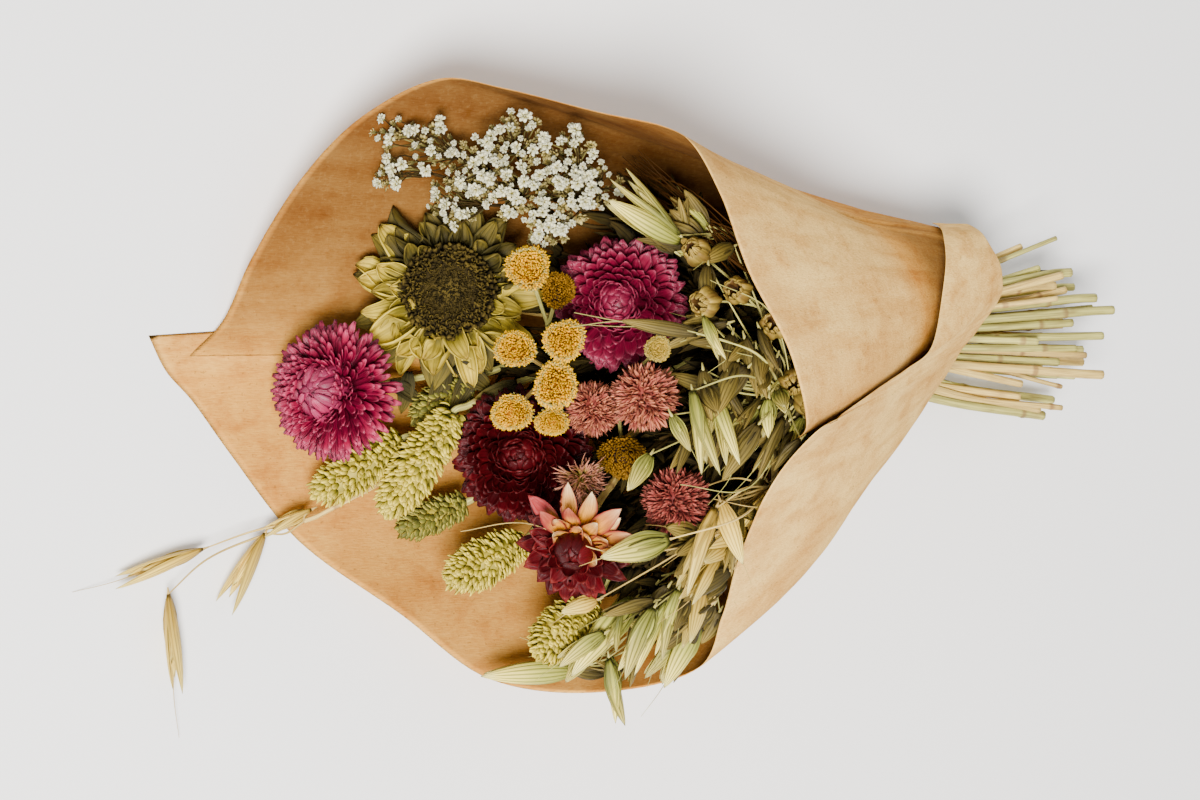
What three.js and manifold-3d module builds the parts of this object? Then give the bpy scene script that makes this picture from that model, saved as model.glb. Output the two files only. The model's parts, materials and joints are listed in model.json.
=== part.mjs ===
// A mixed dried flower bouquet, lying on its back in a cone of two kraft paper sheets.
// Millimetres, +Z up. The mouth of the cone points to -X, the stems leave its neck at +X, and
// the origin is a point of the flat strip on which the outer sheet rests.

import * as THREE from "three";
import { mergeVertices } from "three/addons/utils/BufferGeometryUtils.js";
import Module from "manifold-3d";

const wasm = await Module();
wasm.setup();

// ---- driving dimensions ----

const GAP = 0.35; // clearance between neighbouring pieces
const PAPER_THICKNESS = 0.8;
const PAPER_ROWS = 7; // rows of facets from the rim to the neck
const PETAL_THICKNESS = 1;

const STEM_RADIUS = 1.75;
const SUNFLOWER_STEM_RADIUS = 2;
const STEM_SIDES = 5;
const STEM_STEP = 25; // length of one straight stretch of a stem
const STEM_CLEARANCE = 1.4; // kept between stems outside the tie
const STEM_FLOOR = 5.5; // lowest height of a stem's centre line

const SLOT_PITCH = 4.05; // distance between neighbouring stems in the tie
const BUNDLE_RADIUS = Math.sqrt(7) * SLOT_PITCH + STEM_RADIUS; // four rings of stems
const TWINE_RADIUS = 1.3;
const TWINE_TURNS = 3;
const TIE_SECTORS = 10;
const TIE_INNER_RADIUS = (BUNDLE_RADIUS + GAP) / Math.cos(Math.PI / TIE_SECTORS);
const TIE_RESTS_AT = 2.7; // height of the tie's underside, just over the inner sheet
const TIE_CENTRE = new THREE.Vector3(100, 24, TIE_RESTS_AT + TIE_INNER_RADIUS + 2 * TWINE_RADIUS);
const TIE_HALF_LENGTH = 8; // stretch on either side of the tie where the stems run parallel

const TAIL_CENTRE = new THREE.Vector3(204, 29.5, 23); // middle of the cut ends
const TAIL_SPREAD = new THREE.Vector2(2.45, 1.35); // how far the cut ends fan out, Y and Z
const TAIL_UNEVENNESS = 11; // cut ends vary in length by this much either way

// The outer sheet, from its free front edge over the front, round the lower side and under the
// flowers to its hidden side edge: where each fold line starts at the rim and ends at the neck,
// and how far the paper bulges out between them.
const OUTER_SHEET = [
  { rim: [134, 66, 38], neck: [149, 66, 30], bulge: 0 },
  { rim: [129, 65, 52], neck: [147, 65, 43], bulge: 0 },
  { rim: [124, 60, 65], neck: [146, 61, 54], bulge: 1 },
  { rim: [120, 49, 73], neck: [151, 55, 54], bulge: 1 },
  { rim: [114, 32, 80], neck: [155, 47, 53], bulge: 1 },
  { rim: [106, 17, 87], neck: [156, 39, 51], bulge: 1 },
  { rim: [93, 10, 94], neck: [154, 33, 48], bulge: 0 },
  { rim: [73, 2, 106], neck: [151, 27, 45], bulge: 0 },
  { rim: [56, -5, 115], neck: [148, 22, 42], bulge: 1 },
  { rim: [42, -11, 123], neck: [146, 17, 38], bulge: 2 },
  { rim: [37, -20, 114], neck: [144, 12, 35], bulge: 4 },
  { rim: [33, -33, 103], neck: [142, 7, 32], bulge: 6 },
  { rim: [33, -54, 84], neck: [140, 3, 29], bulge: 8 },
  { rim: [36, -76, 64], neck: [139, 0, 25], bulge: 8 },
  { rim: [33, -94, 52], neck: [138, -1, 20], bulge: 7 },
  { rim: [2, -103, 36], neck: [139, -1, 14], bulge: 5 },
  { rim: [-35, -98, 24], neck: [140, 2, 7], bulge: 4 },
  { rim: [-65, -75, 15], neck: [142, 6, 1.5], bulge: 2 },
  { rim: [-98, -49, 0], neck: [144, 10, 0], bulge: 0 },
  { rim: [-122, -19, 0], neck: [146, 19, 0], bulge: 0 },
  { rim: [-136, 0, 0], neck: [148, 28, 0], bulge: 0 },
  { rim: [-145, 10, 0], neck: [149, 36, 0], bulge: 0 },
  { rim: [-151, 22, 0], neck: [150, 44, 2.5], bulge: 0 },
];

// The inner sheet, from its side edge on the outer sheet up the far side and over the top to the
// edge that the outer sheet laps over.
const INNER_SHEET = [
  { rim: [-137, 15, 1.15], neck: [146, 20, 1.15], bulge: 0 },
  { rim: [-126, 27, 3], neck: [146, 30, 1.3], bulge: 0 },
  { rim: [-119, 48, 14], neck: [146, 40, 2.6], bulge: 1 },
  { rim: [-105, 75, 26], neck: [146, 50, 8], bulge: 3 },
  { rim: [-87, 96, 38], neck: [146, 57, 15], bulge: 3 },
  { rim: [-63, 109, 50], neck: [145, 61, 23], bulge: 1 },
  { rim: [-45, 106, 60], neck: [144, 62, 31], bulge: -2 },
  { rim: [-16, 97, 78], neck: [143, 61.5, 39], bulge: -4 },
  { rim: [0, 92, 92], neck: [142, 60, 45], bulge: -6 },
  { rim: [6, 86, 102], neck: [142, 57, 48], bulge: -5 },
  { rim: [12, 69, 112], neck: [144, 52, 49.5], bulge: -2 },
  { rim: [19, 42, 120], neck: [147, 45, 49], bulge: 2 },
  { rim: [32, 16, 124], neck: [147, 37, 46], bulge: 2 },
  { rim: [39.5, -8, 121.5], neck: [144, 28, 41], bulge: 0 },
  { rim: [43, -14, 106], neck: [141, 20, 35], bulge: 0 },
];

const COLOURS = {
  paper: 0xc9a171,
  twine: 0xb08a58,
  straw: 0xd9c48e,
  greenStraw: 0xc3c48c,
  magenta: 0xa3185a,
  darkRed: 0x6a0a1e,
  openRed: 0x8f2230,
  salmon: 0xcd6e69,
  duskyPink: 0xb05a5c,
  paleGreenPink: 0xb58a72,
  golden: 0xe1a532,
  brownGold: 0xb07f2a,
  paleYellow: 0xd9c46a,
  canaryGreen: 0xcdcd8c,
  floret: 0xf0ebd7,
  sunflowerPetal: 0xc6c265,
  sunflowerDisc: 0x50411e,
  oat: 0xd7c38c,
  oatGreen: 0xb9bd82,
  pod: 0xaa915a,
};

// Facing directions: which way the top of each bloom looks.
const UP_LEFT = [-0.5, -0.05, 0.86];

const STRAWFLOWERS = [
  { name: "left", centre: [-95, 3, 27], facing: [-0.55, 0.02, 0.83], radius: 20.5, colour: "magenta", form: "full" },
  { name: "back", centre: [-2, 33, 62], facing: [-0.55, 0, 0.83], radius: 23, colour: "magenta", form: "full" },
  { name: "middle", centre: [-33, -19, 49], facing: UP_LEFT, radius: 23, colour: "darkRed", form: "full" },
  { name: "open", centre: [-26, -49, 80], facing: [-0.5, -0.3, 0.81], radius: 17.5, colour: "openRed", form: "open" },
];

const SUNFLOWER = { centre: [-54, 37, 33], facing: [-0.3, 0.1, 0.95] };
const SUNFLOWER_RADIUS = 30;
const SUNFLOWER_DISC_RADIUS = 14.5;
const SUNFLOWER_SEAT_DEPTH = 6; // its seat lies this far under its centre

const AMARANTHS = [
  { name: "upper", centre: [-3, 1, 86], facing: UP_LEFT, radius: 11.5, colour: "salmon" },
  { name: "rear", centre: [-14, -3, 67], facing: UP_LEFT, radius: 9.5, colour: "duskyPink" },
  { name: "lower", centre: [8, -34, 87], facing: UP_LEFT, radius: 11.5, colour: "duskyPink" },
  { name: "half_open", centre: [-20, -27, 73], facing: UP_LEFT, radius: 7, colour: "paleGreenPink" },
];

// Button heads share a stem in twos to fours: fork is where their stalks part.
const BUTTON_SPRAYS = [
  {
    name: "upper",
    fork: [-18, 26, 36],
    heads: [
      { name: "1", centre: [-38, 44, 68], radius: 7.2, colour: "golden" },
      { name: "2", centre: [-30, 20, 80], radius: 7.2, colour: "golden" },
      { name: "9", centre: [-24, 37, 60], radius: 6, colour: "brownGold" },
    ],
  },
  {
    name: "middle",
    fork: [-20, 10, 44],
    heads: [
      { name: "3", centre: [-41, 17, 64], radius: 6.6, colour: "golden" },
      { name: "4", centre: [-31, 5, 75], radius: 7.4, colour: "golden" },
      { name: "5", centre: [-44, -4, 69], radius: 6.6, colour: "golden" },
      { name: "6", centre: [-29, -7, 67], radius: 5.2, colour: "golden" },
    ],
  },
  {
    name: "lower",
    fork: [2, 2, 50],
    heads: [
      { name: "7", centre: [1, 17, 87], radius: 4.6, colour: "paleYellow" },
      { name: "8", centre: [-3, -19, 67], radius: 7.6, colour: "brownGold" },
    ],
  },
];

const CANARY_GRASS = [
  { name: "left", base: [-68, -14, 23], tip: [-97, -34, 13], radius: 7 },
  { name: "centre", base: [-54, -5, 37], tip: [-75, -41, 24], radius: 7.4 },
  { name: "lower", base: [-29, -49, 39], tip: [-56, -63, 36], radius: 7.4 },
  { name: "front", base: [-7, -71, 50], tip: [-30, -87, 55], radius: 8.4 },
  { name: "behind", base: [-44, 7, 26], tip: [-62, -8, 20], radius: 6 },
  { name: "under", base: [-44, -36, 22], tip: [-68, -47, 14], radius: 6 },
];

// Baby's breath: each small cluster has a centre, a spread and a number of florets.
const BABYS_BREATH_FORK = [12, 62, 42];
const BABYS_BREATH_CLUSTERS = [
  { centre: [-79, 91, 42], spread: 5, florets: 3, limb: 0 },
  { centre: [-77, 78, 38], spread: 5, florets: 3, limb: 0 },
  { centre: [-66, 87, 46], spread: 8, florets: 5, limb: 0 },
  { centre: [-57, 68, 47], spread: 8, florets: 5, limb: 1 },
  { centre: [-52, 80, 52], spread: 8, florets: 5, limb: 0 },
  { centre: [-40, 88, 61], spread: 9, florets: 6, limb: 0 },
  { centre: [-24, 83, 67], spread: 9, florets: 5, limb: 2 },
  { centre: [-42, 72, 60], spread: 9, florets: 6, limb: 1 },
  { centre: [-24, 69, 67], spread: 9, florets: 6, limb: 2 },
  { centre: [-31, 60, 67], spread: 7, florets: 5, limb: 1 },
  { centre: [-13, 73, 69], spread: 7, florets: 4, limb: 2 },
];
const BABYS_BREATH_LIMBS = [
  [-30, 76, 38],
  [-20, 64, 44],
  [-4, 68, 50],
];
const FLORET_RADIUS = 2.4;
const TWIG_RADIUS = 0.55;

// Oats: each spikelet hangs on its own stalk from the end of the stem. Its base and tip are
// given, and where the stalk has to bend round other blooms, the bend too.
const OAT_SPRAYS = [
  {
    name: "top",
    colour: "oatGreen",
    fork: [34, 57, 78],
    facing: [-0.7, 0.1, 0.7],
    spikelets: [
      { base: [7, 55, 92], tip: [-13, 76, 85] },
      { base: [8, 53, 91], tip: [-18, 66, 87], width: 6 },
    ],
  },
  {
    name: "right",
    colour: "oatGreen",
    fork: [50, 2, 84],
    facing: [-0.6, 0, 0.8],
    spikelets: [
      { base: [6, 3, 104], tip: [9, -25, 112], bend: [20, 8, 110] },
      { base: [16, 4, 100], tip: [19, -22, 108] },
      { base: [30, -8, 105], tip: [18, -27, 102] },
      { base: [14, -8, 92], tip: [2, -24, 97] },
      { base: [27, 11, 103], tip: [14, -6, 95] },
      { base: [30, 17, 103], tip: [31, 0, 105] },
      { base: [9, 22, 102], tip: [-24, 27, 90], bend: [26, 16, 109], width: 4 },
      { base: [43, -6, 98], tip: [32, -26, 97] },
    ],
  },
  {
    name: "lower_right",
    colour: "oat",
    fork: [50, -30, 74],
    facing: [-0.6, -0.3, 0.7],
    spikelets: [
      { base: [17, -36, 99], tip: [4, -64, 99], bend: [30, -30, 94] },
      { base: [21, -34, 94], tip: [27, -55, 98] },
      { base: [36, -44, 84], tip: [12, -50, 90] },
      { base: [29, -54, 77], tip: [10, -68, 89] },
      { base: [29, -61, 66], tip: [15, -84, 79] },
      { base: [42, -32, 86], tip: [32, -47, 81] },
      { base: [-1, -46, 101], tip: [-24, -52, 97], bend: [20, -40, 106], width: 7 },
    ],
  },
  {
    name: "bottom",
    colour: "oatGreen",
    fork: [36, -58, 56],
    facing: [-0.7, -0.5, 0.4],
    spikelets: [
      { base: [2, -70, 82], tip: [-8, -93, 77] },
      { base: [13, -66, 76], tip: [7, -88, 74] },
      { base: [2, -68, 66], tip: [-21, -93, 62], width: 7 },
      { base: [-12, -96, 45], tip: [-42, -98, 36], bend: [12, -84, 50] },
      { base: [-6, -88, 62], tip: [0, -112, 58] },
      { base: [24, -78, 70], tip: [12, -98, 66] },
      { base: [26, -76, 60], tip: [16, -98, 56] },
    ],
  },
  {
    name: "left",
    colour: "oat",
    fork: [-98, -42, 8],
    facing: [-0.93, -0.3, 0.02],
    spikelets: [
      { base: [-103, -38, 10], tip: [-120, -47, 8], width: 5 },
      { base: [-112, -46, 8], tip: [-126, -72, 5] },
      { base: [-134, -51, 8], tip: [-164, -62, 5], bend: [-116, -45, 9] },
      { base: [-146, -66, 8], tip: [-142, -100, 5], bend: [-132, -54, 9] },
    ],
  },
];

const POD_SPRAYS = [
  {
    name: "upper",
    fork: [42, 32, 82],
    facing: [-0.5, 0.2, 0.8],
    pods: [
      { base: [17, 48, 90], tip: [9, 51, 96], radius: 4.6 },
      { base: [17, 33, 97], tip: [8, 32, 105], radius: 4.8 },
      { base: [30, 36, 94], tip: [22, 37, 101], radius: 4.6 },
    ],
  },
  {
    name: "front",
    fork: [54, 14, 78],
    facing: [-0.4, 0, 0.9],
    pods: [
      { base: [48, 7, 93], tip: [44, 5, 103], radius: 4.6 },
      { base: [52, 2, 92], tip: [51, -3, 101], radius: 4 },
      { base: [42, 24, 94], tip: [36, 26, 104], radius: 5 },
    ],
  },
];

// ---- small helpers ----

const vec = (point) => new THREE.Vector3(...point);
const along = (a, b, share) => new THREE.Vector3().lerpVectors(a, b, share);

// A repeatable source of numbers from 0 to 1.
function randomFrom(seed) {
  let state = seed >>> 0;
  return () => {
    state = (state + 0x6d2b79f5) >>> 0;
    let t = state;
    t = Math.imul(t ^ (t >>> 15), t | 1);
    t ^= t + Math.imul(t ^ (t >>> 7), t | 61);
    return ((t ^ (t >>> 14)) >>> 0) / 4294967296;
  };
}

function geometryOf(vertices, triangles) {
  const geometry = new THREE.BufferGeometry().setFromPoints(vertices);
  geometry.setIndex(triangles);
  return geometry;
}

function manifoldOf(geometry) {
  const bare = geometry.clone();
  bare.deleteAttribute("normal");
  bare.deleteAttribute("uv");
  const merged = mergeVertices(bare, 1e-4);
  return new wasm.Manifold(
    new wasm.Mesh({
      numProp: 3,
      vertProperties: new Float32Array(merged.attributes.position.array),
      triVerts: new Uint32Array(merged.index.array),
    }),
  );
}

// Joins closed geometries into one body.
function fuse(geometries) {
  const solid = wasm.Manifold.union(geometries.map(manifoldOf));
  const { vertProperties, triVerts } = solid.getMesh();
  const geometry = new THREE.BufferGeometry();
  geometry.setAttribute("position", new THREE.BufferAttribute(vertProperties, 3));
  geometry.setIndex(new THREE.BufferAttribute(triVerts, 1));
  return geometry;
}

// A closed body from a start point through rings of points to an end point.
function loft(start, rings, end) {
  const sides = rings[0].length;
  const vertices = [start, ...rings.flat(), end];
  const at = (ring, side) => 1 + ring * sides + (side % sides);
  const triangles = [];
  for (let k = 0; k < sides; k++) {
    triangles.push(0, at(0, k + 1), at(0, k));
    for (let i = 0; i + 1 < rings.length; i++) {
      triangles.push(at(i, k), at(i, k + 1), at(i + 1, k + 1));
      triangles.push(at(i, k), at(i + 1, k + 1), at(i + 1, k));
    }
    triangles.push(at(rings.length - 1, k), at(rings.length - 1, k + 1), vertices.length - 1);
  }
  return geometryOf(vertices, triangles);
}

// A pointed blade with one ridge above and one below. Each section is its share of the way from
// root to tip, its width and how far it is raised and shifted sideways off the straight line.
function blade(root, tip, up, sections, thickness) {
  const axis = tip.clone().sub(root).normalize();
  const side = new THREE.Vector3().crossVectors(up, axis).normalize();
  const top = new THREE.Vector3().crossVectors(axis, side);
  const rings = sections.map(({ share, width, raise = 0, shift = 0 }) => {
    const middle = along(root, tip, share).addScaledVector(top, raise).addScaledVector(side, shift);
    return [
      middle.clone().addScaledVector(side, width / 2),
      middle.clone().addScaledVector(top, thickness / 2),
      middle.clone().addScaledVector(side, -width / 2),
      middle.clone().addScaledVector(top, -thickness / 2),
    ];
  });
  return loft(root, rings, tip);
}

// A thin three-sided stalk, pointed at both ends, whose ends are sunk into what it joins. The
// shares say where along it its full thickness begins and ends.
function stalk(from, to, radius, shares = [0.04, 0.96]) {
  const axis = to.clone().sub(from).normalize();
  const across = Math.abs(axis.z) < 0.9 ? new THREE.Vector3(0, 0, 1) : new THREE.Vector3(1, 0, 0);
  const side = new THREE.Vector3().crossVectors(across, axis).normalize();
  const top = new THREE.Vector3().crossVectors(axis, side);
  const ringAt = (point) =>
    [0, 1, 2].map((k) => {
      const angle = (k * 2 * Math.PI) / 3;
      return point
        .clone()
        .addScaledVector(side, radius * Math.cos(angle))
        .addScaledVector(top, radius * Math.sin(angle));
    });
  return loft(from, shares.map((share) => ringAt(along(from, to, share))), to);
}

// A body turned round Z. The profile runs from the bottom of the axis to its top, and relief
// gives what each ring's radius is multiplied by at an angle.
function turned(profile, sectors, relief = () => 1) {
  const inner = profile.slice(1, -1);
  const rings = inner.map(([radius, z], i) =>
    Array.from({ length: sectors }, (_, k) => {
      const angle = (k * 2 * Math.PI) / sectors;
      const r = radius * relief(i, k);
      return new THREE.Vector3(r * Math.cos(angle), r * Math.sin(angle), z);
    }),
  );
  const [bottom, top] = [profile[0], profile[profile.length - 1]];
  return loft(new THREE.Vector3(0, 0, bottom[1]), rings, new THREE.Vector3(0, 0, top[1]));
}

function meshOf(name, geometry, colour, roughness = 0.85) {
  const material = new THREE.MeshStandardMaterial({
    color: COLOURS[colour],
    roughness,
    metalness: 0,
  });
  const mesh = new THREE.Mesh(geometry, material);
  mesh.name = name;
  return mesh;
}

// Places a bloom modelled with its seat at the origin and its top towards +Z.
function standOn(mesh, seat, facing) {
  mesh.position.copy(seat);
  mesh.quaternion.setFromUnitVectors(new THREE.Vector3(0, 0, 1), facing);
  return mesh;
}

// ---- paper ----

function sheetGeometry(folds, stepsPerFold) {
  const lineThrough = (key) =>
    new THREE.CatmullRomCurve3(
      folds.map((fold) => vec(fold[key])),
      false,
      "centripetal",
    );
  const [rim, neck] = [lineThrough("rim"), lineThrough("neck")];
  const bulgeAt = (u) => {
    const place = u * (folds.length - 1);
    const i = Math.min(Math.floor(place), folds.length - 2);
    return THREE.MathUtils.lerp(folds[i].bulge, folds[i + 1].bulge, place - i);
  };
  const columns = (folds.length - 1) * stepsPerFold;
  const ruled = (i, j) => {
    const u = THREE.MathUtils.clamp(i / columns, 0, 1);
    return along(rim.getPoint(u), neck.getPoint(u), j / PAPER_ROWS);
  };
  const normalAt = (i, j) => {
    const round = ruled(Math.min(i + 0.5, columns), j).sub(ruled(Math.max(i - 0.5, 0), j));
    const down = ruled(i, PAPER_ROWS).sub(ruled(i, 0));
    return round.cross(down).normalize();
  };
  const outer = [];
  const inner = [];
  for (let i = 0; i <= columns; i++) {
    for (let j = 0; j <= PAPER_ROWS; j++) {
      const share = j / PAPER_ROWS;
      const normal = normalAt(i, j);
      const bulge = 4 * share * (1 - share) * bulgeAt(i / columns);
      const point = ruled(i, j).addScaledVector(normal, bulge);
      point.z = Math.max(point.z, 0);
      outer.push(point);
      inner.push(point.clone().addScaledVector(normal, -PAPER_THICKNESS));
    }
  }
  const at = (i, j) => i * (PAPER_ROWS + 1) + j;
  const under = outer.length;
  const triangles = [];
  const quad = (a, b, c, d) => triangles.push(a, b, c, a, c, d);
  for (let i = 0; i < columns; i++) {
    for (let j = 0; j < PAPER_ROWS; j++) {
      const [a, b, c, d] = [at(i, j), at(i + 1, j), at(i + 1, j + 1), at(i, j + 1)];
      quad(a, b, c, d);
      triangles.push(under + a, under + c, under + b, under + a, under + d, under + c);
    }
    quad(at(i + 1, 0), at(i, 0), under + at(i, 0), under + at(i + 1, 0));
    const [a, b] = [at(i, PAPER_ROWS), at(i + 1, PAPER_ROWS)];
    quad(a, b, under + b, under + a);
  }
  for (let j = 0; j < PAPER_ROWS; j++) {
    quad(at(0, j), at(0, j + 1), under + at(0, j + 1), under + at(0, j));
    const [a, b] = [at(columns, j), at(columns, j + 1)];
    quad(b, a, under + a, under + b);
  }
  return geometryOf([...outer, ...inner], triangles);
}

// ---- stems ----

// A curve whose arc is sampled at its own points, so that a tube along it has a ring at each.
class PointedCurve extends THREE.CatmullRomCurve3 {
  getPointAt(u, target) {
    return this.getPoint(u, target);
  }
  getTangentAt(u, target) {
    return this.getTangent(u, target);
  }
}

function tube(points, radius, sides = STEM_SIDES) {
  const section = new THREE.Shape(
    Array.from({ length: sides }, (_, k) => {
      const angle = (k * 2 * Math.PI) / sides;
      return new THREE.Vector2(radius * Math.cos(angle), radius * Math.sin(angle));
    }),
  );
  return new THREE.ExtrudeGeometry(section, {
    steps: points.length - 1,
    extrudePath: new PointedCurve(points, false, "centripetal"),
    bevelEnabled: false,
  });
}

// The places of the stems in the tie: a triangular lattice, the nearest to the middle first.
function tieSlots(count) {
  const slots = [];
  for (let row = -6; row <= 6; row++) {
    for (let step = -6; step <= 6; step++) {
      const shift = row % 2 === 0 ? 0 : 0.5;
      slots.push(new THREE.Vector2((step + shift) * SLOT_PITCH, row * SLOT_PITCH * 0.866));
    }
  }
  return slots.sort((a, b) => a.length() - b.length() || a.angle() - b.angle()).slice(0, count);
}

// Gives each stem the slot that lies the same way from the middle as its bloom does, by
// swapping pairs as long as that brings the stems nearer to running straight. The thick first
// stem keeps the middle.
function assignSlots(stems) {
  const slots = tieSlots(stems.length);
  const wanted = stems.map(({ seat }) => {
    const run = TIE_CENTRE.x - seat.x;
    return new THREE.Vector2((seat.y - TIE_CENTRE.y) / run, (seat.z - TIE_CENTRE.z) / run);
  });
  let swapped = true;
  while (swapped) {
    swapped = false;
    for (let a = 1; a < stems.length; a++) {
      for (let b = a + 1; b < stems.length; b++) {
        const kept = slots[a].dot(wanted[a]) + slots[b].dot(wanted[b]);
        const crossed = slots[a].dot(wanted[b]) + slots[b].dot(wanted[a]);
        if (crossed > kept + 1e-6) {
          [slots[a], slots[b]] = [slots[b], slots[a]];
          swapped = true;
        }
      }
    }
  }
  stems.forEach((stem, i) => (stem.slot = slots[i]));
}

const SAMPLE_STEP = 4.5; // spacing of the points at which stems push each other aside
const SETTLE_ROUNDS = 160;

// Lets the stems push each other aside between the tie and the blooms, and keeps them out of
// the other stems' blooms and off the paper.
function settle(stems, obstacles) {
  for (const stem of stems) {
    const start = TIE_CENTRE.clone().add(new THREE.Vector3(-TIE_HALF_LENGTH, stem.slot.x, stem.slot.y));
    const run = start.distanceTo(stem.seat);
    const knee = stem.seat.clone().addScaledVector(stem.facing, -Math.min(18, 0.3 * run));
    const lead = start.clone().add(new THREE.Vector3(-0.35 * run, 0, 0));
    const curve = new THREE.CubicBezierCurve3(start, lead, knee, stem.seat);
    stem.path = curve.getSpacedPoints(Math.ceil(run / SAMPLE_STEP));
    stem.path[stem.path.length - 2] = stem.seat.clone().addScaledVector(stem.facing, -SAMPLE_STEP);
    stem.shift = stem.path.map(() => new THREE.Vector3());
  }
  for (let round = 0; round < SETTLE_ROUNDS; round++) {
    for (const stem of stems) {
      const { shift } = stem;
      for (let k = 1; k + 1 < shift.length; k++)
        shift[k].lerp(along(shift[k - 1], shift[k + 1], 0.5), 0.35);
      for (const k of [0, 1, shift.length - 2, shift.length - 1]) shift[k].set(0, 0, 0);
      stem.now = stem.path.map((point, k) => point.clone().add(shift[k]));
    }
    pushStemsApart(stems);
    for (const stem of stems) pushOffBlooms(stem, obstacles);
  }
}

function pushStemsApart(stems) {
  for (let a = 0; a < stems.length; a++) {
    for (let b = a + 1; b < stems.length; b++) {
      const room = stems[a].radius + stems[b].radius + STEM_CLEARANCE;
      for (const [i, p] of stems[a].now.entries()) {
        for (const [j, q] of stems[b].now.entries()) {
          if (Math.abs(p.x - q.x) > room || Math.abs(p.y - q.y) > room) continue;
          const between = p.clone().sub(q);
          const distance = between.length();
          if (distance > room || distance < 1e-6) continue;
          between.multiplyScalar((0.25 * (room - distance)) / distance);
          stems[a].shift[i].add(between);
          stems[b].shift[j].sub(between);
        }
      }
    }
  }
}

function pushOffBlooms(stem, obstacles) {
  for (const [k, p] of stem.now.entries()) {
    const floor = STEM_FLOOR - p.z;
    if (floor > 0) stem.shift[k].z += 0.5 * floor;
    for (const { owner, centre, axis, radius, halfHeight } of obstacles) {
      if (owner === stem.name) continue;
      const off = p.clone().sub(centre);
      const height = off.dot(axis);
      const side = off.clone().addScaledVector(axis, -height);
      const [wide, tall] = [radius + stem.radius + 1, halfHeight + stem.radius + 1];
      const inside = 1 - Math.hypot(side.length() / wide, height / tall);
      if (inside <= 0) continue;
      const away = side.divideScalar(wide * wide).addScaledVector(axis, height / (tall * tall));
      stem.shift[k].addScaledVector(away.normalize(), 0.5 * inside * Math.min(wide, tall));
    }
  }
}

// The stem's own line: from the cut end through the tie to the seat of its bloom.
function stemLine(stem, random) {
  const { x: y, y: z } = stem.slot;
  const cut = TAIL_CENTRE.clone().add(
    new THREE.Vector3((2 * random() - 1) * TAIL_UNEVENNESS, y * TAIL_SPREAD.x, z * TAIL_SPREAD.y),
  );
  const afterTie = TIE_CENTRE.clone().add(new THREE.Vector3(TIE_HALF_LENGTH, y, z));
  const count = Math.max(2, Math.round((stem.path.length * SAMPLE_STEP) / STEM_STEP));
  const last = stem.path.length - 1;
  const headSide = Array.from({ length: count + 1 }, (_, i) => Math.round((i * last) / count));
  const picked = [...new Set([...headSide.slice(0, -1), last - 1, last])].sort((a, b) => a - b);
  return [cut, afterTie, ...picked.map((k) => stem.path[k].clone().add(stem.shift[k]))];
}

// Turns of twine round the stems, pressed together into one ring.
function tieGeometry() {
  const halfWidth = TWINE_TURNS * TWINE_RADIUS;
  const profile = [new THREE.Vector2(TIE_INNER_RADIUS, -halfWidth)];
  for (let turn = 0; turn < TWINE_TURNS; turn++) {
    const middle = (2 * turn + 1) * TWINE_RADIUS - halfWidth;
    for (const [out, over] of [[1.2, -0.8], [2, 0], [1.2, 0.8]])
      profile.push(
        new THREE.Vector2(TIE_INNER_RADIUS + out * TWINE_RADIUS, middle + over * TWINE_RADIUS),
      );
  }
  profile.push(new THREE.Vector2(TIE_INNER_RADIUS, halfWidth), profile[0].clone());
  return new THREE.LatheGeometry(profile, TIE_SECTORS).rotateZ(-Math.PI / 2);
}

// ---- blooms ----

// A turned core whose bands of facets each grow one petal. The profile runs from the seat's middle
// to the top's middle, every ring is turned half a step from the one below it, and petal gives a
// band's petal at an angle, or nothing where the band stays plain.
function petalled(profile, sectors, petal) {
  const inner = profile.slice(1, -1);
  const step = (2 * Math.PI) / sectors;
  const vertices = [new THREE.Vector3(0, 0, profile[0][1])];
  inner.forEach(([radius, z], i) => {
    for (let k = 0; k < sectors; k++) {
      const angle = (k + 0.5 * i) * step;
      vertices.push(new THREE.Vector3(radius * Math.cos(angle), radius * Math.sin(angle), z));
    }
  });
  vertices.push(new THREE.Vector3(0, 0, profile[profile.length - 1][1]));
  const [last, top] = [inner.length - 1, vertices.length - 1];
  const at = (ring, k) => 1 + ring * sectors + (k % sectors);
  const triangles = [];
  for (let k = 0; k < sectors; k++) {
    triangles.push(0, at(0, k + 1), at(0, k), at(last, k), at(last, k + 1), top);
    for (let i = 0; i < last; i++) {
      const facet = [at(i, k), at(i, k + 1), at(i + 1, k + 1), at(i + 1, k)];
      const grown = petal(i, (k + 0.5 * i + 0.75) * step);
      if (!grown) {
        triangles.push(facet[0], facet[1], facet[2], facet[0], facet[2], facet[3]);
        continue;
      }
      let edge = facet;
      for (const corners of petalSections(grown)) {
        const next = corners.map((corner) => vertices.push(corner) - 1);
        for (let m = 0; m < 4; m++) {
          const n = (m + 1) % 4;
          triangles.push(edge[m], edge[n], next[n], edge[m], next[n], next[m]);
        }
        edge = next;
      }
      const tip = vertices.push(grown.tip) - 1;
      for (let m = 0; m < 4; m++) triangles.push(edge[m], edge[(m + 1) % 4], tip);
    }
  }
  return geometryOf(vertices, triangles);
}

// The flat oblong sections of a petal, each as its four corners.
function petalSections({ root, tip, up, sections }) {
  const axis = tip.clone().sub(root).normalize();
  const side = new THREE.Vector3().crossVectors(up, axis).normalize();
  const top = new THREE.Vector3().crossVectors(axis, side);
  return sections.map(({ share, width, raise = 0 }) =>
    [[-1, -1], [1, -1], [1, 1], [-1, 1]].map(([across, over]) =>
      along(root, tip, share)
        .addScaledVector(top, raise + (over * PETAL_THICKNESS) / 2)
        .addScaledVector(side, (across * width) / 2),
    ),
  );
}

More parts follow.
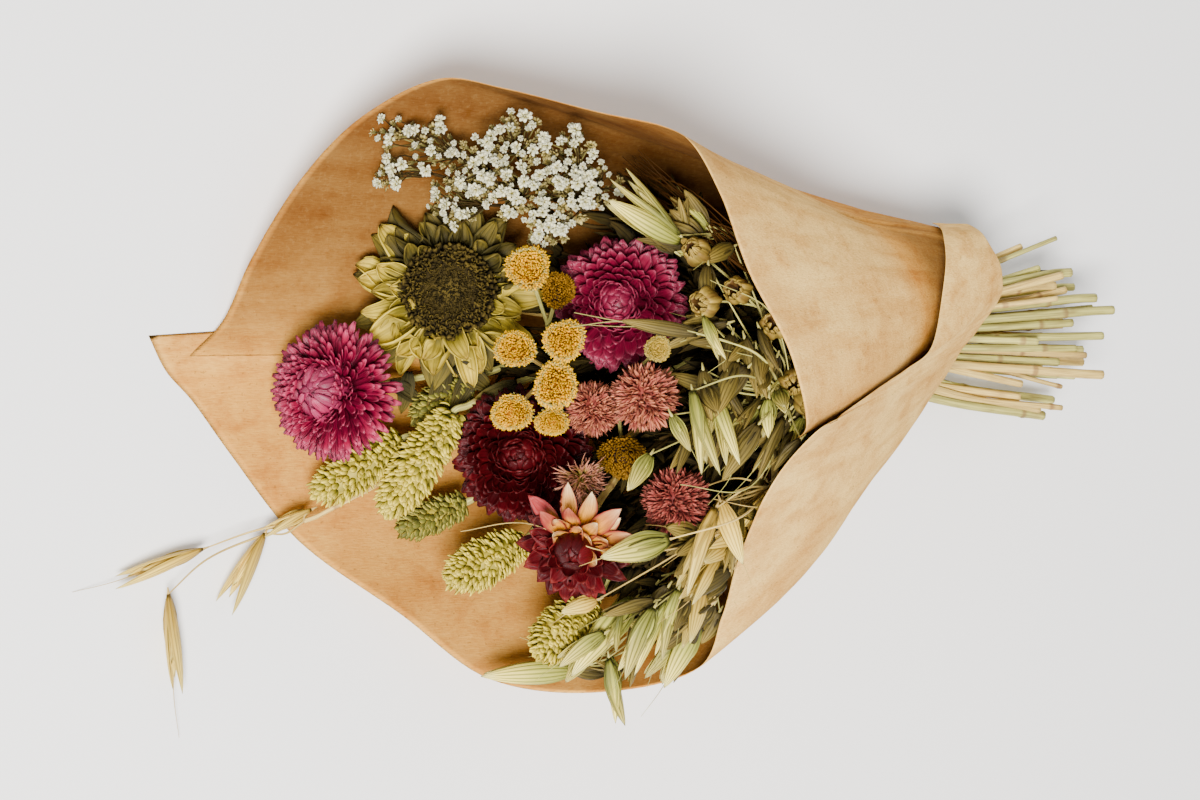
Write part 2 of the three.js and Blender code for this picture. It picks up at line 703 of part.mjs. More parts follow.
// Rings of papery bracts, outermost first: where a bract's tip lies out from the axis and above
// the seat, and its width, all as shares of the head's radius.
const BRACT_RINGS = {
  full: [
    { out: 1, up: 0.22, width: 0.29 },
    { out: 0.93, up: 0.56, width: 0.28 },
    { out: 0.72, up: 0.86, width: 0.24 },
    { out: 0.44, up: 1.04, width: 0.17 },
    { out: 0.2, up: 1.1, width: 0.1 },
  ],
  open: [
    { out: 1, up: 0.34, width: 0.3 },
    { out: 0.97, up: 0.64, width: 0.28 },
    { out: 0.66, up: 1.02, width: 0.22 },
    { out: 0.38, up: 1.2, width: 0.16 },
    { out: 0.18, up: 1.24, width: 0.1 },
  ],
};
const BRACTS_IN_RING = 12;

function strawflowerGeometry(radius, form, random) {
  const outline = [[0, 0], [0.12, 0], [0.4, 0.2], [0.48, 0.36], [0.46, 0.52], [0.35, 0.68],
    [0.2, 0.78], [0.09, 0.84], [0, 0.86]];
  const profile = outline.map(([out, up]) => [out * radius, up * radius]);
  return petalled(profile, BRACTS_IN_RING, (band, angle) => {
    const ring = BRACT_RINGS[form][band - 1];
    if (!ring) return null;
    const outward = new THREE.Vector3(Math.cos(angle), Math.sin(angle), 0);
    const [out, up] = [(outline[band + 1][0] + outline[band + 2][0]) / 2,
      (outline[band + 1][1] + outline[band + 2][1]) / 2];
    const reach = 0.94 + 0.08 * random();
    return {
      root: outward.clone().multiplyScalar(out * radius).setZ(up * radius),
      tip: outward.clone().multiplyScalar(ring.out * reach * radius).setZ(ring.up * reach * radius),
      up: new THREE.Vector3(0, 0, 1).addScaledVector(outward, -ring.up),
      sections: [{ share: 0.5, width: ring.width * radius, raise: -0.03 * radius }],
    };
  });
}

// Two rows of ray petals round the rim of the flower's base, the inner row raised.
const RAYS_IN_ROW = 17;
const RAY_ROWS = [
  { reach: 1, rise: 7, width: 8.2 },
  { reach: 0.86, rise: 15, width: 6.6 },
];

function sunflowerPetals(random) {
  const rim = SUNFLOWER_DISC_RADIUS;
  const profile = [[0, 0], [3.2, 0], [rim - 3, 2.4], [rim, 3.6], [rim + 0.8, 5.6], [rim - 2, 6.6],
    [0, 6.6]];
  return petalled(profile, RAYS_IN_ROW, (band, angle) => {
    const row = RAY_ROWS[band - 1];
    if (!row) return null;
    const outward = new THREE.Vector3(Math.cos(angle), Math.sin(angle), 0);
    const reach = SUNFLOWER_RADIUS * row.reach * (0.86 + 0.14 * random());
    return {
      root: outward.clone().multiplyScalar(rim).setZ(3 + 1.6 * (band - 1)),
      tip: outward.clone().multiplyScalar(reach).setZ(row.rise * (0.6 + 0.4 * random())),
      up: new THREE.Vector3(0, 0, 1),
      sections: [
        { share: 0.3, width: 0.75 * row.width },
        { share: 0.7, width: row.width * (0.8 + 0.2 * random()), raise: -1.5 * random() },
      ],
    };
  });
}

const SUNFLOWER_DISC_SEAT = 6.6 + GAP; // height of the disc's underside over the flower's seat

// The seed disc: a low dome with a wreath of curled florets round a finer middle.
function sunflowerDisc() {
  const r = SUNFLOWER_DISC_RADIUS;
  const profile = [[0, 0], [0.97 * r, 0], [r, 2.4], [0.9 * r, 4.8], [0.72 * r, 6], [0.54 * r, 5],
    [0.36 * r, 5.4], [0.18 * r, 5], [0, 5.3]];
  return turned(profile, 20, (ring, k) => {
    if (ring === 0 || ring === profile.length - 3) return 1;
    return (ring + k) % 2 === 0 ? 1.06 : 0.95;
  });
}

function amaranthGeometry(radius) {
  const ball = new THREE.IcosahedronGeometry(0.8 * radius, 1);
  const corner = ball.attributes.position;
  const vertices = [];
  for (let i = 0; i < corner.count; i += 3) {
    const face = [0, 1, 2].map((k) => new THREE.Vector3().fromBufferAttribute(corner, i + k));
    const apex = face[0].clone().add(face[1]).add(face[2]).setLength(radius);
    for (let k = 0; k < 3; k++) vertices.push(face[k], face[(k + 1) % 3], apex);
  }
  const spiky = new THREE.BufferGeometry().setFromPoints(vertices).translate(0, 0, radius);
  const neck = turned([[0, 0], [1.9, 0], [2.2, 0.5 * radius], [0, 0.5 * radius]], 6);
  return fuse([spiky, neck]);
}

// A squat head: woolly cup below, packed florets above.
function buttonGeometry(radius) {
  const profile = [[0, 0], [1.4, 0], [0.92 * radius, 0.32 * radius], [radius, 0.72 * radius],
    [0.8 * radius, 1 * radius], [0.42 * radius, 1.12 * radius], [0, 1.1 * radius]];
  return turned(profile, 8, (ring, k) => (ring >= 3 && (ring + k) % 2 === 0 ? 1.1 : 1));
}

// A closely scaled egg-shaped head on the end of its own stem, which runs up to half its length.
function canaryHead(base, tip, radius) {
  const length = base.distanceTo(tip);
  const sectors = 8;
  const rows = [0.02, 0.14, 0.29, 0.44, 0.59, 0.74, 0.88];
  const swell = (share) => Math.sin(Math.PI * Math.min(1, 0.16 + 0.84 * share ** 0.8)) ** 0.6;
  const rings = rows.map((share, i) =>
    Array.from({ length: sectors }, (_, k) => {
      const angle = ((k + 0.5 * (i % 2)) * 2 * Math.PI) / sectors;
      const scale = (i + k) % 2 === 0 ? 1.06 : 0.88;
      const r = Math.max(2, radius * swell(share)) * scale;
      return new THREE.Vector3(r * Math.cos(angle), r * Math.sin(angle), share * length);
    }),
  );
  const head = loft(new THREE.Vector3(), rings, new THREE.Vector3(0, 0, length));
  const facing = tip.clone().sub(base).normalize();
  head.applyQuaternion(new THREE.Quaternion().setFromUnitVectors(new THREE.Vector3(0, 0, 1), facing));
  return head.translate(base.x, base.y, base.z);
}

// Two boat-shaped husks side by side, open towards the tip.
function spikelet({ base, tip, width = 5.4 }, random) {
  const [from, to] = [vec(base), vec(tip)];
  const axis = to.clone().sub(from).normalize();
  const up = new THREE.Vector3(-0.4, 0, 0.9);
  const side = new THREE.Vector3().crossVectors(up, axis).normalize();
  const length = from.distanceTo(to);
  const spread = length * (0.12 + 0.04 * random());
  return [-1, 1].map((hand) => {
    const root = from.clone().addScaledVector(side, 0.15 * hand);
    const point = to.clone().addScaledVector(side, hand * spread);
    if (hand < 0) point.addScaledVector(axis, -0.12 * length);
    const belly = { share: 0.42, width: 0.66 * width, raise: 0.5 * hand, shift: 0.22 * hand * width };
    return blade(root, point, up, [belly], 0.5 * width);
  });
}

function podGeometry({ base, tip, radius }) {
  const [from, to] = [vec(base), vec(tip)];
  const length = from.distanceTo(to);
  const facing = to.clone().sub(from).normalize();
  const sectors = 6;
  const profile = [[0.35, 0.05], [0.85, 0.3], [1, 0.6], [0.78, 0.95], [0.4, 0.85]];
  const rings = profile.map(([out, share], i) =>
    Array.from({ length: sectors }, (_, k) => {
      const angle = (k * 2 * Math.PI) / sectors;
      const tooth = i === 3 && k % 2 === 0 ? 0.12 : 0;
      const [r, z] = [out * radius, (share + tooth) * length];
      return new THREE.Vector3(r * Math.cos(angle), r * Math.sin(angle), z);
    }),
  );
  const pod = loft(new THREE.Vector3(), rings, new THREE.Vector3(0, 0, 0.62 * length));
  pod.applyQuaternion(new THREE.Quaternion().setFromUnitVectors(new THREE.Vector3(0, 0, 1), facing));
  return pod.translate(from.x, from.y, from.z);
}

// ---- the plants: each has one stem, and says what its stem keeps the others out of ----

const random = randomFrom(20240611);
const plants = [];
const obstacles = [];

function addPlant(plant) {
  plants.push({ radius: STEM_RADIUS, ...plant, facing: plant.facing.clone().normalize() });
}

function addObstacle(owner, centre, axis, radius, halfHeight) {
  obstacles.push({ owner, centre, axis: axis.clone().normalize(), radius, halfHeight });
}

const group = new THREE.Group();

function addSeatedBloom(name, geometry, colour, centre, facing, halfHeight, radius) {
  const axis = vec(facing).normalize();
  const seat = vec(centre).addScaledVector(axis, -halfHeight);
  group.add(standOn(meshOf(name + "_head", geometry, colour), seat, axis));
  addObstacle(name, vec(centre), axis, radius, halfHeight);
  const stemEnd = seat.clone().addScaledVector(axis, -GAP);
  addPlant({ name, seat: stemEnd, facing: axis, build: (line, r) => tube(line, r) });
}

// The sunflower comes first, because its thick stem keeps the middle of the tie.
{
  const axis = vec(SUNFLOWER.facing).normalize();
  const seat = vec(SUNFLOWER.centre).addScaledVector(axis, -SUNFLOWER_SEAT_DEPTH);
  const discSeat = seat.clone().addScaledVector(axis, SUNFLOWER_DISC_SEAT);
  group.add(standOn(meshOf("sunflower_petals", sunflowerPetals(random), "sunflowerPetal"), seat, axis));
  group.add(standOn(meshOf("sunflower_disc", sunflowerDisc(), "sunflowerDisc"), discSeat, axis));
  addObstacle("sunflower", vec(SUNFLOWER.centre), axis, SUNFLOWER_RADIUS, 8);
  addPlant({
    name: "sunflower",
    seat: seat.clone().addScaledVector(axis, -GAP),
    facing: axis,
    radius: SUNFLOWER_STEM_RADIUS,
    build: (line, r) => tube(line, r),
  });
}

for (const { name, centre, facing, radius, colour, form } of STRAWFLOWERS)
  addSeatedBloom("strawflower_" + name, strawflowerGeometry(radius, form, random), colour, centre,
    facing, 0.5 * radius, radius);

for (const { name, centre, facing, radius, colour } of AMARANTHS)
  addSeatedBloom("amaranth_" + name, amaranthGeometry(radius), colour, centre, facing, radius, radius);

for (const { name, fork, heads } of BUTTON_SPRAYS) {
  const forkPoint = vec(fork);
  const stalks = heads.map(({ name: number, centre, radius, colour }) => {
    const axis = vec(centre).sub(forkPoint).normalize();
    const seat = vec(centre).addScaledVector(axis, -0.5 * radius);
    group.add(standOn(meshOf("button_" + number + "_head", buttonGeometry(radius), colour), seat, axis));
    addObstacle("buttons_" + name, vec(centre), axis, radius, radius);
    return tube([forkPoint, along(forkPoint, seat, 0.5), seat.addScaledVector(axis, -GAP)], 1, 4);
  });
  addPlant({
    name: "buttons_" + name,
    seat: forkPoint,
    facing: new THREE.Vector3(-0.75, 0, 0.66),
    build: (line, r) => fuse([tube(line, r), ...stalks]),
  });
}

for (const { name, base, tip, radius } of CANARY_GRASS) {
  const [from, to] = [vec(base), vec(tip)];
  const axis = to.clone().sub(from).normalize();
  addObstacle("canary_grass_" + name, along(from, to, 0.5), axis, radius, from.distanceTo(to) / 2);
  addPlant({
    name: "canary_grass_" + name,
    seat: from.clone().addScaledVector(axis, 4),
    facing: axis,
    build: (line, r) => fuse([tube(line, r), canaryHead(from, to, radius)]),
    colour: "canaryGreen",
  });
}

// Baby's breath: the stem parts into limbs, the limbs into clusters, the clusters into florets.
function babysBreath(line, stemRadius) {
  const fork = vec(BABYS_BREATH_FORK);
  const limbs = BABYS_BREATH_LIMBS.map(vec);
  const pieces = [tube(line, stemRadius), ...limbs.map((limb) => tube([fork, limb], 1, 4))];
  for (const { centre, spread, florets, limb } of BABYS_BREATH_CLUSTERS) {
    const middle = vec(centre);
    const hub = along(middle, limbs[limb], 0.34);
    pieces.push(stalk(along(limbs[limb], fork, 0.06), hub, 0.8));
    pieces.push(new THREE.OctahedronGeometry(1.7).translate(hub.x, hub.y, hub.z));
    for (let k = 0; k < florets; k++) {
      const turn = 2.4 * k + random();
      const out = spread * Math.sqrt((k + 0.5) / florets);
      const place = middle.clone().add(
        new THREE.Vector3(
          out * Math.cos(turn) * 0.9,
          out * Math.sin(turn),
          0.45 * spread * (random() - 0.3) + 0.35 * out * Math.cos(turn),
        ),
      );
      pieces.push(stalk(hub, place, TWIG_RADIUS, [0.5]));
      const floret = new THREE.OctahedronGeometry(FLORET_RADIUS * (0.85 + 0.3 * random()));
      floret.rotateX(3 * random()).rotateZ(3 * random());
      pieces.push(floret.translate(place.x, place.y, place.z));
    }
  }
  return fuse(pieces);
}

addObstacle("babys_breath", new THREE.Vector3(-32, 76, 58), new THREE.Vector3(0.5, 0, 0.87), 30, 14);
addPlant({
  name: "babys_breath",
  seat: vec(BABYS_BREATH_FORK),
  facing: new THREE.Vector3(-0.9, 0.2, 0.3),
  build: babysBreath,
  colour: "floret",
});

// A stalk from the end of the stem, round its bend if it has one, right into what it holds.
function stalkTo(fork, { bend, base, tip }) {
  const before = vec(bend ?? fork);
  const end = vec(base).add(vec(tip).sub(vec(base)).setLength(1.5));
  end.add(end.clone().sub(before).setLength(1.6));
  return tube(bend ? [vec(fork), before, end] : [before, end], 0.95, 3);
}

// A stem that parts in a small knot into stalks.
function branched(line, stemRadius, fork, held) {
  const knot = new THREE.OctahedronGeometry(1.3 * stemRadius).translate(...fork);
  return [tube(line, stemRadius), knot, ...held.map((each) => stalkTo(fork, each))];
}

for (const { name, fork, facing, colour, spikelets } of OAT_SPRAYS) {
  for (const { base, tip } of spikelets) {
    const axis = vec(tip).sub(vec(base));
    addObstacle("oats_" + name, along(vec(base), vec(tip), 0.5), axis, 4, axis.length() / 2);
  }
  addPlant({
    name: "oats_" + name,
    seat: vec(fork),
    facing: vec(facing),
    build: (line, r) =>
      fuse([
        ...branched(line, r, fork, spikelets),
        ...spikelets.flatMap((each) => spikelet(each, random)),
      ]),
    colour,
  });
}

for (const { name, fork, facing, pods } of POD_SPRAYS) {
  for (const { base, tip, radius } of pods) {
    const axis = vec(tip).sub(vec(base));
    addObstacle("pods_" + name, along(vec(base), vec(tip), 0.5), axis, radius, axis.length() / 2);
  }
  addPlant({
    name: "pods_" + name,
    seat: vec(fork),
    facing: vec(facing),
    build: (line, r) => fuse([...branched(line, r, fork, pods), ...pods.map(podGeometry)]),
    colour: "pod",
  });
}

// ---- assembly ----

assignSlots(plants);
settle(plants, obstacles);
const STEM_COLOURS = ["straw", "greenStraw"];
plants.forEach((plant, i) => {
  const geometry = plant.build(stemLine(plant, random), plant.radius);
  const name = plant.colour ? plant.name : plant.name + "_stem";
  group.add(meshOf(name, geometry, plant.colour ?? STEM_COLOURS[i % STEM_COLOURS.length]));
});

const tie = meshOf("twine_tie", tieGeometry(), "twine");
tie.position.copy(TIE_CENTRE);
group.add(tie);

group.add(meshOf("wrap_sheet_outer", sheetGeometry(OUTER_SHEET, 1), "paper"));
group.add(meshOf("wrap_sheet_inner", sheetGeometry(INNER_SHEET, 2), "paper"));

export default group;
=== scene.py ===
"""Dresses the flower bouquet: fine paper, petals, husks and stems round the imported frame."""

import functools
import json
import math

import bpy
import numpy as np
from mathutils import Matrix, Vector, noise
from mathutils.bvhtree import BVHTree


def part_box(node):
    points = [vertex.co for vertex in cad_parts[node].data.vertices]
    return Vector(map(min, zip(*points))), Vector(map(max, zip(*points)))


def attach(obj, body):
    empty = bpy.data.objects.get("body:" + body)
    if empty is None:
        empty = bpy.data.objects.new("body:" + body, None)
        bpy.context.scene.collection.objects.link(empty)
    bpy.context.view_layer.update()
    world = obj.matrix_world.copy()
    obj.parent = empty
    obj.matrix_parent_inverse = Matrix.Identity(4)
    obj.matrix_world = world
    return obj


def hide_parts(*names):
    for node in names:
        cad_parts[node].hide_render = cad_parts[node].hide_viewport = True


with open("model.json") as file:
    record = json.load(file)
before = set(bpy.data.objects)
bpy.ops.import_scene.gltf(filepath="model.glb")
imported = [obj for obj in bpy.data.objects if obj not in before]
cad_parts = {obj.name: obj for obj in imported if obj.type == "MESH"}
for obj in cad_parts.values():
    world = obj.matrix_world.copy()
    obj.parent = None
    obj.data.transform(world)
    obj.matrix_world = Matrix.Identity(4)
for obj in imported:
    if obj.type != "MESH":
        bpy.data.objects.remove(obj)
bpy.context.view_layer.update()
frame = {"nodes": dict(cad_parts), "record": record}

MM = 0.001  # the tables below are in millimetres
GOLDEN_TURN = math.pi * (3 - math.sqrt(5))
UP = np.array([0.0, 0.0, 1.0])
VIEW = np.array([-0.39, 0.0, 0.92])  # from the blooms towards the camera
NOISE_SEED = 1795533098  # fixes the noise vectors, which the clock would set otherwise
noise.seed_set(NOISE_SEED)

# ---- meshes: surfaces are collected in millimetres and become one piece ----


def unit(v):
    return v / np.maximum(np.linalg.norm(v, axis=-1, keepdims=True), 1e-9)


def partway(a, b, share):
    """The point that lies this share of the way from a to b."""
    return a * (1 - share) + b * share


def placed(name, data):
    made = bpy.data.objects.new(name, data)
    bpy.context.scene.collection.objects.link(made)
    return made


class Growth:
    """Collects quads. Every vertex is marked with its place: along, across, shade and depth."""

    def __init__(self):
        self.points, self.marks, self.quads, self.materials, self.count = [], [], [], [], 0
        self.basis, self.origin = np.eye(3), np.zeros(3)

    def stand(self, origin, facing=(0, 0, 1)):
        """Later surfaces are modelled with their seat at the origin and their top towards +Z."""
        turn = Vector((0, 0, 1)).rotation_difference(Vector(facing).normalized()).to_matrix()
        self.basis, self.origin = np.array(turn), np.array(origin, float)
        return self

    def add(self, points, quads, along, across, shade, depth=0.0, material=0):
        shape = points.shape[:-1]
        fields = [np.broadcast_to(f, shape).ravel() for f in (along, across, shade, depth)]
        self.points.append(points.reshape(-1, 3) @ self.basis.T + self.origin)
        self.marks.append(np.stack(fields, 1))
        self.quads.append(quads.reshape(-1, 4) + self.count)
        self.materials.append(np.full(len(self.quads[-1]), material))
        self.count += len(self.points[-1])

    def piece(self, name, slot, nodes, *materials):
        points, marks, quads = map(np.concatenate, (self.points, self.marks, self.quads))
        mesh = bpy.data.meshes.new(name)
        mesh.vertices.add(len(points))
        mesh.vertices.foreach_set("co", (points * MM).ravel())
        mesh.loops.add(quads.size)
        mesh.loops.foreach_set("vertex_index", quads.ravel())
        mesh.polygons.add(len(quads))
        mesh.polygons.foreach_set("loop_start", np.arange(0, quads.size, 4))
        mesh.polygons.foreach_set("material_index", np.concatenate(self.materials))
        mesh.update(calc_edges=True)
        mesh.shade_smooth()
        mark = mesh.attributes.new("mark", "FLOAT_VECTOR", "POINT")
        mark.data.foreach_set("vector", marks[:, :3].ravel())
        depth = mesh.attributes.new("depth", "FLOAT", "POINT")
        depth.data.foreach_set("value", marks[:, 3].ravel())
        for material in materials:
            mesh.materials.append(material)
        made = placed(name, mesh)
        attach(made, "root")
        if nodes:
            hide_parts(*nodes)
        return made


@functools.cache
def thin_quads(rows, cols):
    """Quads of a closed thin leaf, whose upper and lower face share the rim."""
    upper = np.arange(rows * cols).reshape(rows, cols)
    lower = upper.copy()
    lower[1:-1, 1:-1] = rows * cols + np.arange((rows - 2) * (cols - 2)).reshape(rows - 2, cols - 2)
    faces = [[g[:-1, :-1], g[1:, :-1], g[1:, 1:], g[:-1, 1:]] for g in (upper, lower)]
    top, bottom = (np.stack(face, -1).reshape(-1, 4) for face in faces)
    return np.concatenate([top, bottom[:, ::-1]]), upper.size + (rows - 2) * (cols - 2)


def add_thin(grow, surface, thick, along, across, shade, depth=0.0, material=0):
    """Adds closed thin leaves round middle surfaces, an array of (leaf, row, column, xyz).

    A mark given as a pair has its first value on the upper face and its second elsewhere."""
    count, rows, cols = surface.shape[:3]
    normal = unit(np.cross(np.gradient(surface, axis=1), np.gradient(surface, axis=2)))
    inner = (slice(None), slice(1, -1), slice(1, -1))
    upper = surface.copy()
    upper[inner] += normal[inner] * thick / 2
    lower = (surface - normal * thick / 2)[inner]

    def both(field):
        pair = field if isinstance(field, tuple) else (field, field)
        over, under = (np.array(np.broadcast_to(face, (count, rows, cols)), float) for face in pair)
        over[:, [0, -1]], over[:, :, [0, -1]] = under[:, [0, -1]], under[:, :, [0, -1]]
        return np.concatenate([over.reshape(count, -1), under[inner].reshape(count, -1)], 1)

    points = np.concatenate([upper.reshape(count, -1, 3), lower.reshape(count, -1, 3)], 1)
    quads, each = thin_quads(rows, cols)
    all_quads = quads[None] + each * np.arange(count)[:, None, None]
    fields = [both(field) for field in (along, across, shade, depth)]
    grow.add(points, all_quads, *fields, material)


def outline(root, peak, power, tip=0.04):
    """How wide a leaf is along its length, as a share of its greatest width."""

    def width(t):
        swelling = root + (1 - root) * np.sin(np.pi / 2 * np.clip(t / peak, 0, 1))
        closing = np.cos(np.pi / 2 * np.clip((t - peak) / (1 - peak), 0, 1)) ** power
        return np.where(t < peak, swelling, np.maximum(closing, tip))

    return width


def add_leaves(grow, root, axis, up, length, width, form, *, bend=0.0, cup=0.4, ruffle=0.0,
               twist=0.0, thick=0.25, shade=0.5, depth=0.0, rows=7, cols=5, material=0):
    """Adds thin leaves, one for each root. They bend and cup towards up, angles in radians."""
    count = len(root)

    def each(value):
        return np.broadcast_to(np.asarray(value, float), (count,))[:, None]

    length, width, bend, cup, ruffle, twist = map(each, (length, width, bend, cup, ruffle, twist))
    shade, depth = each(shade)[..., None], each(depth)[..., None]
    t, v = np.linspace(0, 1, rows), np.linspace(-1, 1, cols)
    axis = unit(np.broadcast_to(axis, (count, 3)))
    side = unit(np.cross(np.broadcast_to(up, (count, 3)), axis))
    top = np.cross(axis, side)
    angle = bend * (t - 0.5)
    between = (angle[:, 1:] + angle[:, :-1]) / 2
    step = length / (rows - 1)
    start = np.zeros((count, 1))
    run = np.concatenate([start, np.cumsum(np.cos(between) * step, 1)], 1)[..., None]
    rise = np.concatenate([start, np.cumsum(np.sin(between) * step, 1)], 1)[..., None]
    spine = root[:, None] + run * axis[:, None] + rise * top[:, None]
    slope = angle[..., None]
    normal = np.cos(slope) * top[:, None] - np.sin(slope) * axis[:, None]
    roll = (twist * t)[..., None]
    flank = np.cos(roll) * side[:, None] + np.sin(roll) * normal
    normal = np.cos(roll) * normal - np.sin(roll) * side[:, None]
    cup = np.maximum(cup, 0.05)[..., None]
    half = (0.5 * width * form(t))[..., None]
    bow = half / np.sin(np.minimum(cup, np.pi / 2))
    wave = np.sin(9 * t[:, None] + 40 * shade) * np.abs(v)
    aside = bow * np.sin(cup * v)
    lift = bow * (1 - np.cos(cup * v)) + ruffle[..., None] * half * wave
    surface = spine[:, :, None] + aside[..., None] * flank[:, :, None] + lift[..., None] * normal[:, :, None]
    add_thin(grow, surface, thick, t[:, None], v, shade, depth, material)


def ring_quads(rings, sides):
    """Quads of a round form, ring by ring, with a lid over its first and its last ring."""
    grid = np.arange(rings * sides).reshape(rings, sides)
    around = np.roll(grid, -1, axis=1)
    skin = np.stack([grid[:-1], around[:-1], around[1:], grid[1:]], -1).reshape(-1, 4)
    k = np.arange(sides // 2 - 1)
    lid = np.stack([k, k + 1, sides - 2 - k, sides - 1 - k], -1)
    return np.concatenate([skin, lid[:, ::-1], lid + grid[-1, 0]])


RIB_DEPTH = 0.06  # share of the stalk's radius
KNOT_LENGTH, KNOT_SWELLING = 1.3, 0.22  # millimetres, and share of the radius
BORE, BORE_DEPTH = 0.62, 2.5  # of a cut straw's hole: share of the radius, and millimetres


def add_tube(grow, path, radius, *, sides=10, ribs=0, knots=(), shade=0.5, hollow=False, material=0):
    """Adds a round stalk along a path of points. Knots are places along it, in millimetres."""
    path = np.asarray(path, float)
    count = len(path)
    radius = np.broadcast_to(np.asarray(radius, float), (count,))
    tangent = unit(np.gradient(path, axis=0))
    side = np.cross(tangent[0], (0, 0, 1) if abs(tangent[0][2]) < 0.9 else (1, 0, 0))
    sides_along = []
    for direction in tangent:
        side = unit(side - direction * np.dot(side, direction))
        sides_along.append(side)
    side = np.array(sides_along)
    top = np.cross(side, tangent)
    place = np.concatenate([[0], np.cumsum(np.linalg.norm(np.diff(path, axis=0), axis=1))])
    knot = sum((np.exp(-(((place - k) / KNOT_LENGTH) ** 2)) for k in knots), np.zeros(count))
    turn = np.linspace(0, 2 * np.pi, sides, endpoint=False)
    round_ribs = 1 + RIB_DEPTH * np.cos(ribs * turn) if ribs else np.ones(sides)
    girth = (radius * (1 + KNOT_SWELLING * knot))[:, None] * round_ribs
    across, over = girth * np.cos(turn), girth * np.sin(turn)
    rings = path[:, None] + across[..., None] * side[:, None] + over[..., None] * top[:, None]
    if hollow:
        centre, inwards = path[-1], -tangent[-1]
        mouth = centre + (rings[-1] - centre) * BORE
        rings = np.concatenate([rings, mouth[None], (mouth + BORE_DEPTH * inwards)[None]])
        place, knot = np.append(place, [place[-1]] * 2), np.append(knot, [0.25, 1])
    quads = ring_quads(len(rings), sides)[:, ::-1]
    grow.add(rings, quads, (place / 10)[:, None], turn / np.pi - 1, shade, knot[:, None], material)


def curve_through(points, u):
    """Points at the shares u of a smooth curve that passes through the given points."""
    points = np.asarray(points, float)
    whole = np.concatenate([[2 * points[0] - points[1]], points, [2 * points[-1] - points[-2]]])
    spot = np.asarray(u) * (len(points) - 1)
    i = np.minimum(spot.astype(int), len(points) - 2)
    w = (spot - i)[:, None]
    a, b, c, d = (whole[i + k] for k in range(4))
    pairs = ((a, b), (b, c), (c, d))
    ab, bc, cd = (np.sqrt(np.linalg.norm(q - p, axis=1, keepdims=True)) for p, q in pairs)
    ab, cd = np.maximum(ab, 1e-6), np.maximum(cd, 1e-6)
    leave = ((b - a) / ab - (c - a) / (ab + bc) + (c - b) / bc) * bc
    arrive = ((c - b) / bc - (d - b) / (bc + cd) + (d - c) / cd) * bc
    return (b + leave * w + (3 * (c - b) - 2 * leave - arrive) * w**2
            + (2 * (b - c) + leave + arrive) * w**3)


def add_stalk(grow, points, radii, rng, **look):
    """A smooth stalk through the points, with one radius for each step along it."""
    path = curve_through(points, np.linspace(0, 1, len(radii)))
    add_tube(grow, path, radii, shade=rng.uniform(), **look)


# ---- materials: all of them grow from the vertex marks and from noise ----


def tone(r, g, b):
    """A colour given as screen values from 0 to 255."""
    linear = [c / 255 / 12.92 if c <= 10 else ((c / 255 + 0.055) / 1.055) ** 2.4 for c in (r, g, b)]
    return (*linear, 1)


class Shading:
    """A material under construction."""

    def __init__(self, name, rough, specular=0.5):
        self.material = bpy.data.materials.new(name)
        self.material.use_nodes = True
        self.tree = self.material.node_tree
        self.shader = self.tree.nodes["Principled BSDF"]
        self.shader.inputs["Roughness"].default_value = rough
        self.shader.inputs["Specular IOR Level"].default_value = specular

    def node(self, kind, sockets, **settings):
        made = self.tree.nodes.new("ShaderNode" + kind)
        for key, value in settings.items():
            setattr(made, key, value)
        for key, value in sockets.items():
            if isinstance(value, bpy.types.NodeSocket):
                self.tree.links.new(value, made.inputs[key])
            else:
                made.inputs[key].default_value = value
        return made

    def marks(self):
        split = self.node("SeparateXYZ", {0: self.attribute("mark").outputs["Vector"]})
        return (*split.outputs, self.attribute("depth").outputs["Fac"])

    def attribute(self, name):
        return self.node("Attribute", {}, attribute_name=name)

    def maths(self, operation, a, b=0.0, c=0.0):
        return self.node("Math", {0: a, 1: b, 2: c}, operation=operation).outputs[0]

    def times(self, a, b):
        return self.maths("MULTIPLY", a, b)

    def span(self, value, low, high, to_low=0.0, to_high=1.0):
        sockets = {0: value, 1: low, 2: high, 3: to_low, 4: to_high}
        return self.node("MapRange", sockets, interpolation_type="SMOOTHSTEP").outputs[0]

    def mix(self, factor, a, b, blend="MIX"):
        sockets = {0: factor, 6: a, 7: b}
        return self.node("Mix", sockets, data_type="RGBA", blend_type=blend).outputs[2]

    def ramp(self, factor, *stops):
        made = self.node("ValToRGB", {0: factor})
        elements = made.color_ramp.elements
        while len(elements) < len(stops):
            elements.new(0.5)
        for element, (place, colour) in zip(elements, stops):
            element.position, element.color = place, colour
        return made.outputs[0]

    def noise(self, where, scale, detail=3.0, rough=0.5):
        sockets = {"Vector": where, "Scale": scale, "Detail": detail, "Roughness": rough}
        return self.node("TexNoise", sockets).outputs[0]

    def joined(self, x, y, z):
        return self.node("CombineXYZ", {0: x, 1: y, 2: z}).outputs[0]

    def finish(self, colour, height, depth_mm):
        self.tree.links.new(colour, self.shader.inputs["Base Color"])
        bump = self.node("Bump", {"Height": height, "Distance": depth_mm * MM, "Strength": 1.0})
        self.tree.links.new(bump.outputs[0], self.shader.inputs["Normal"])
        return self.material


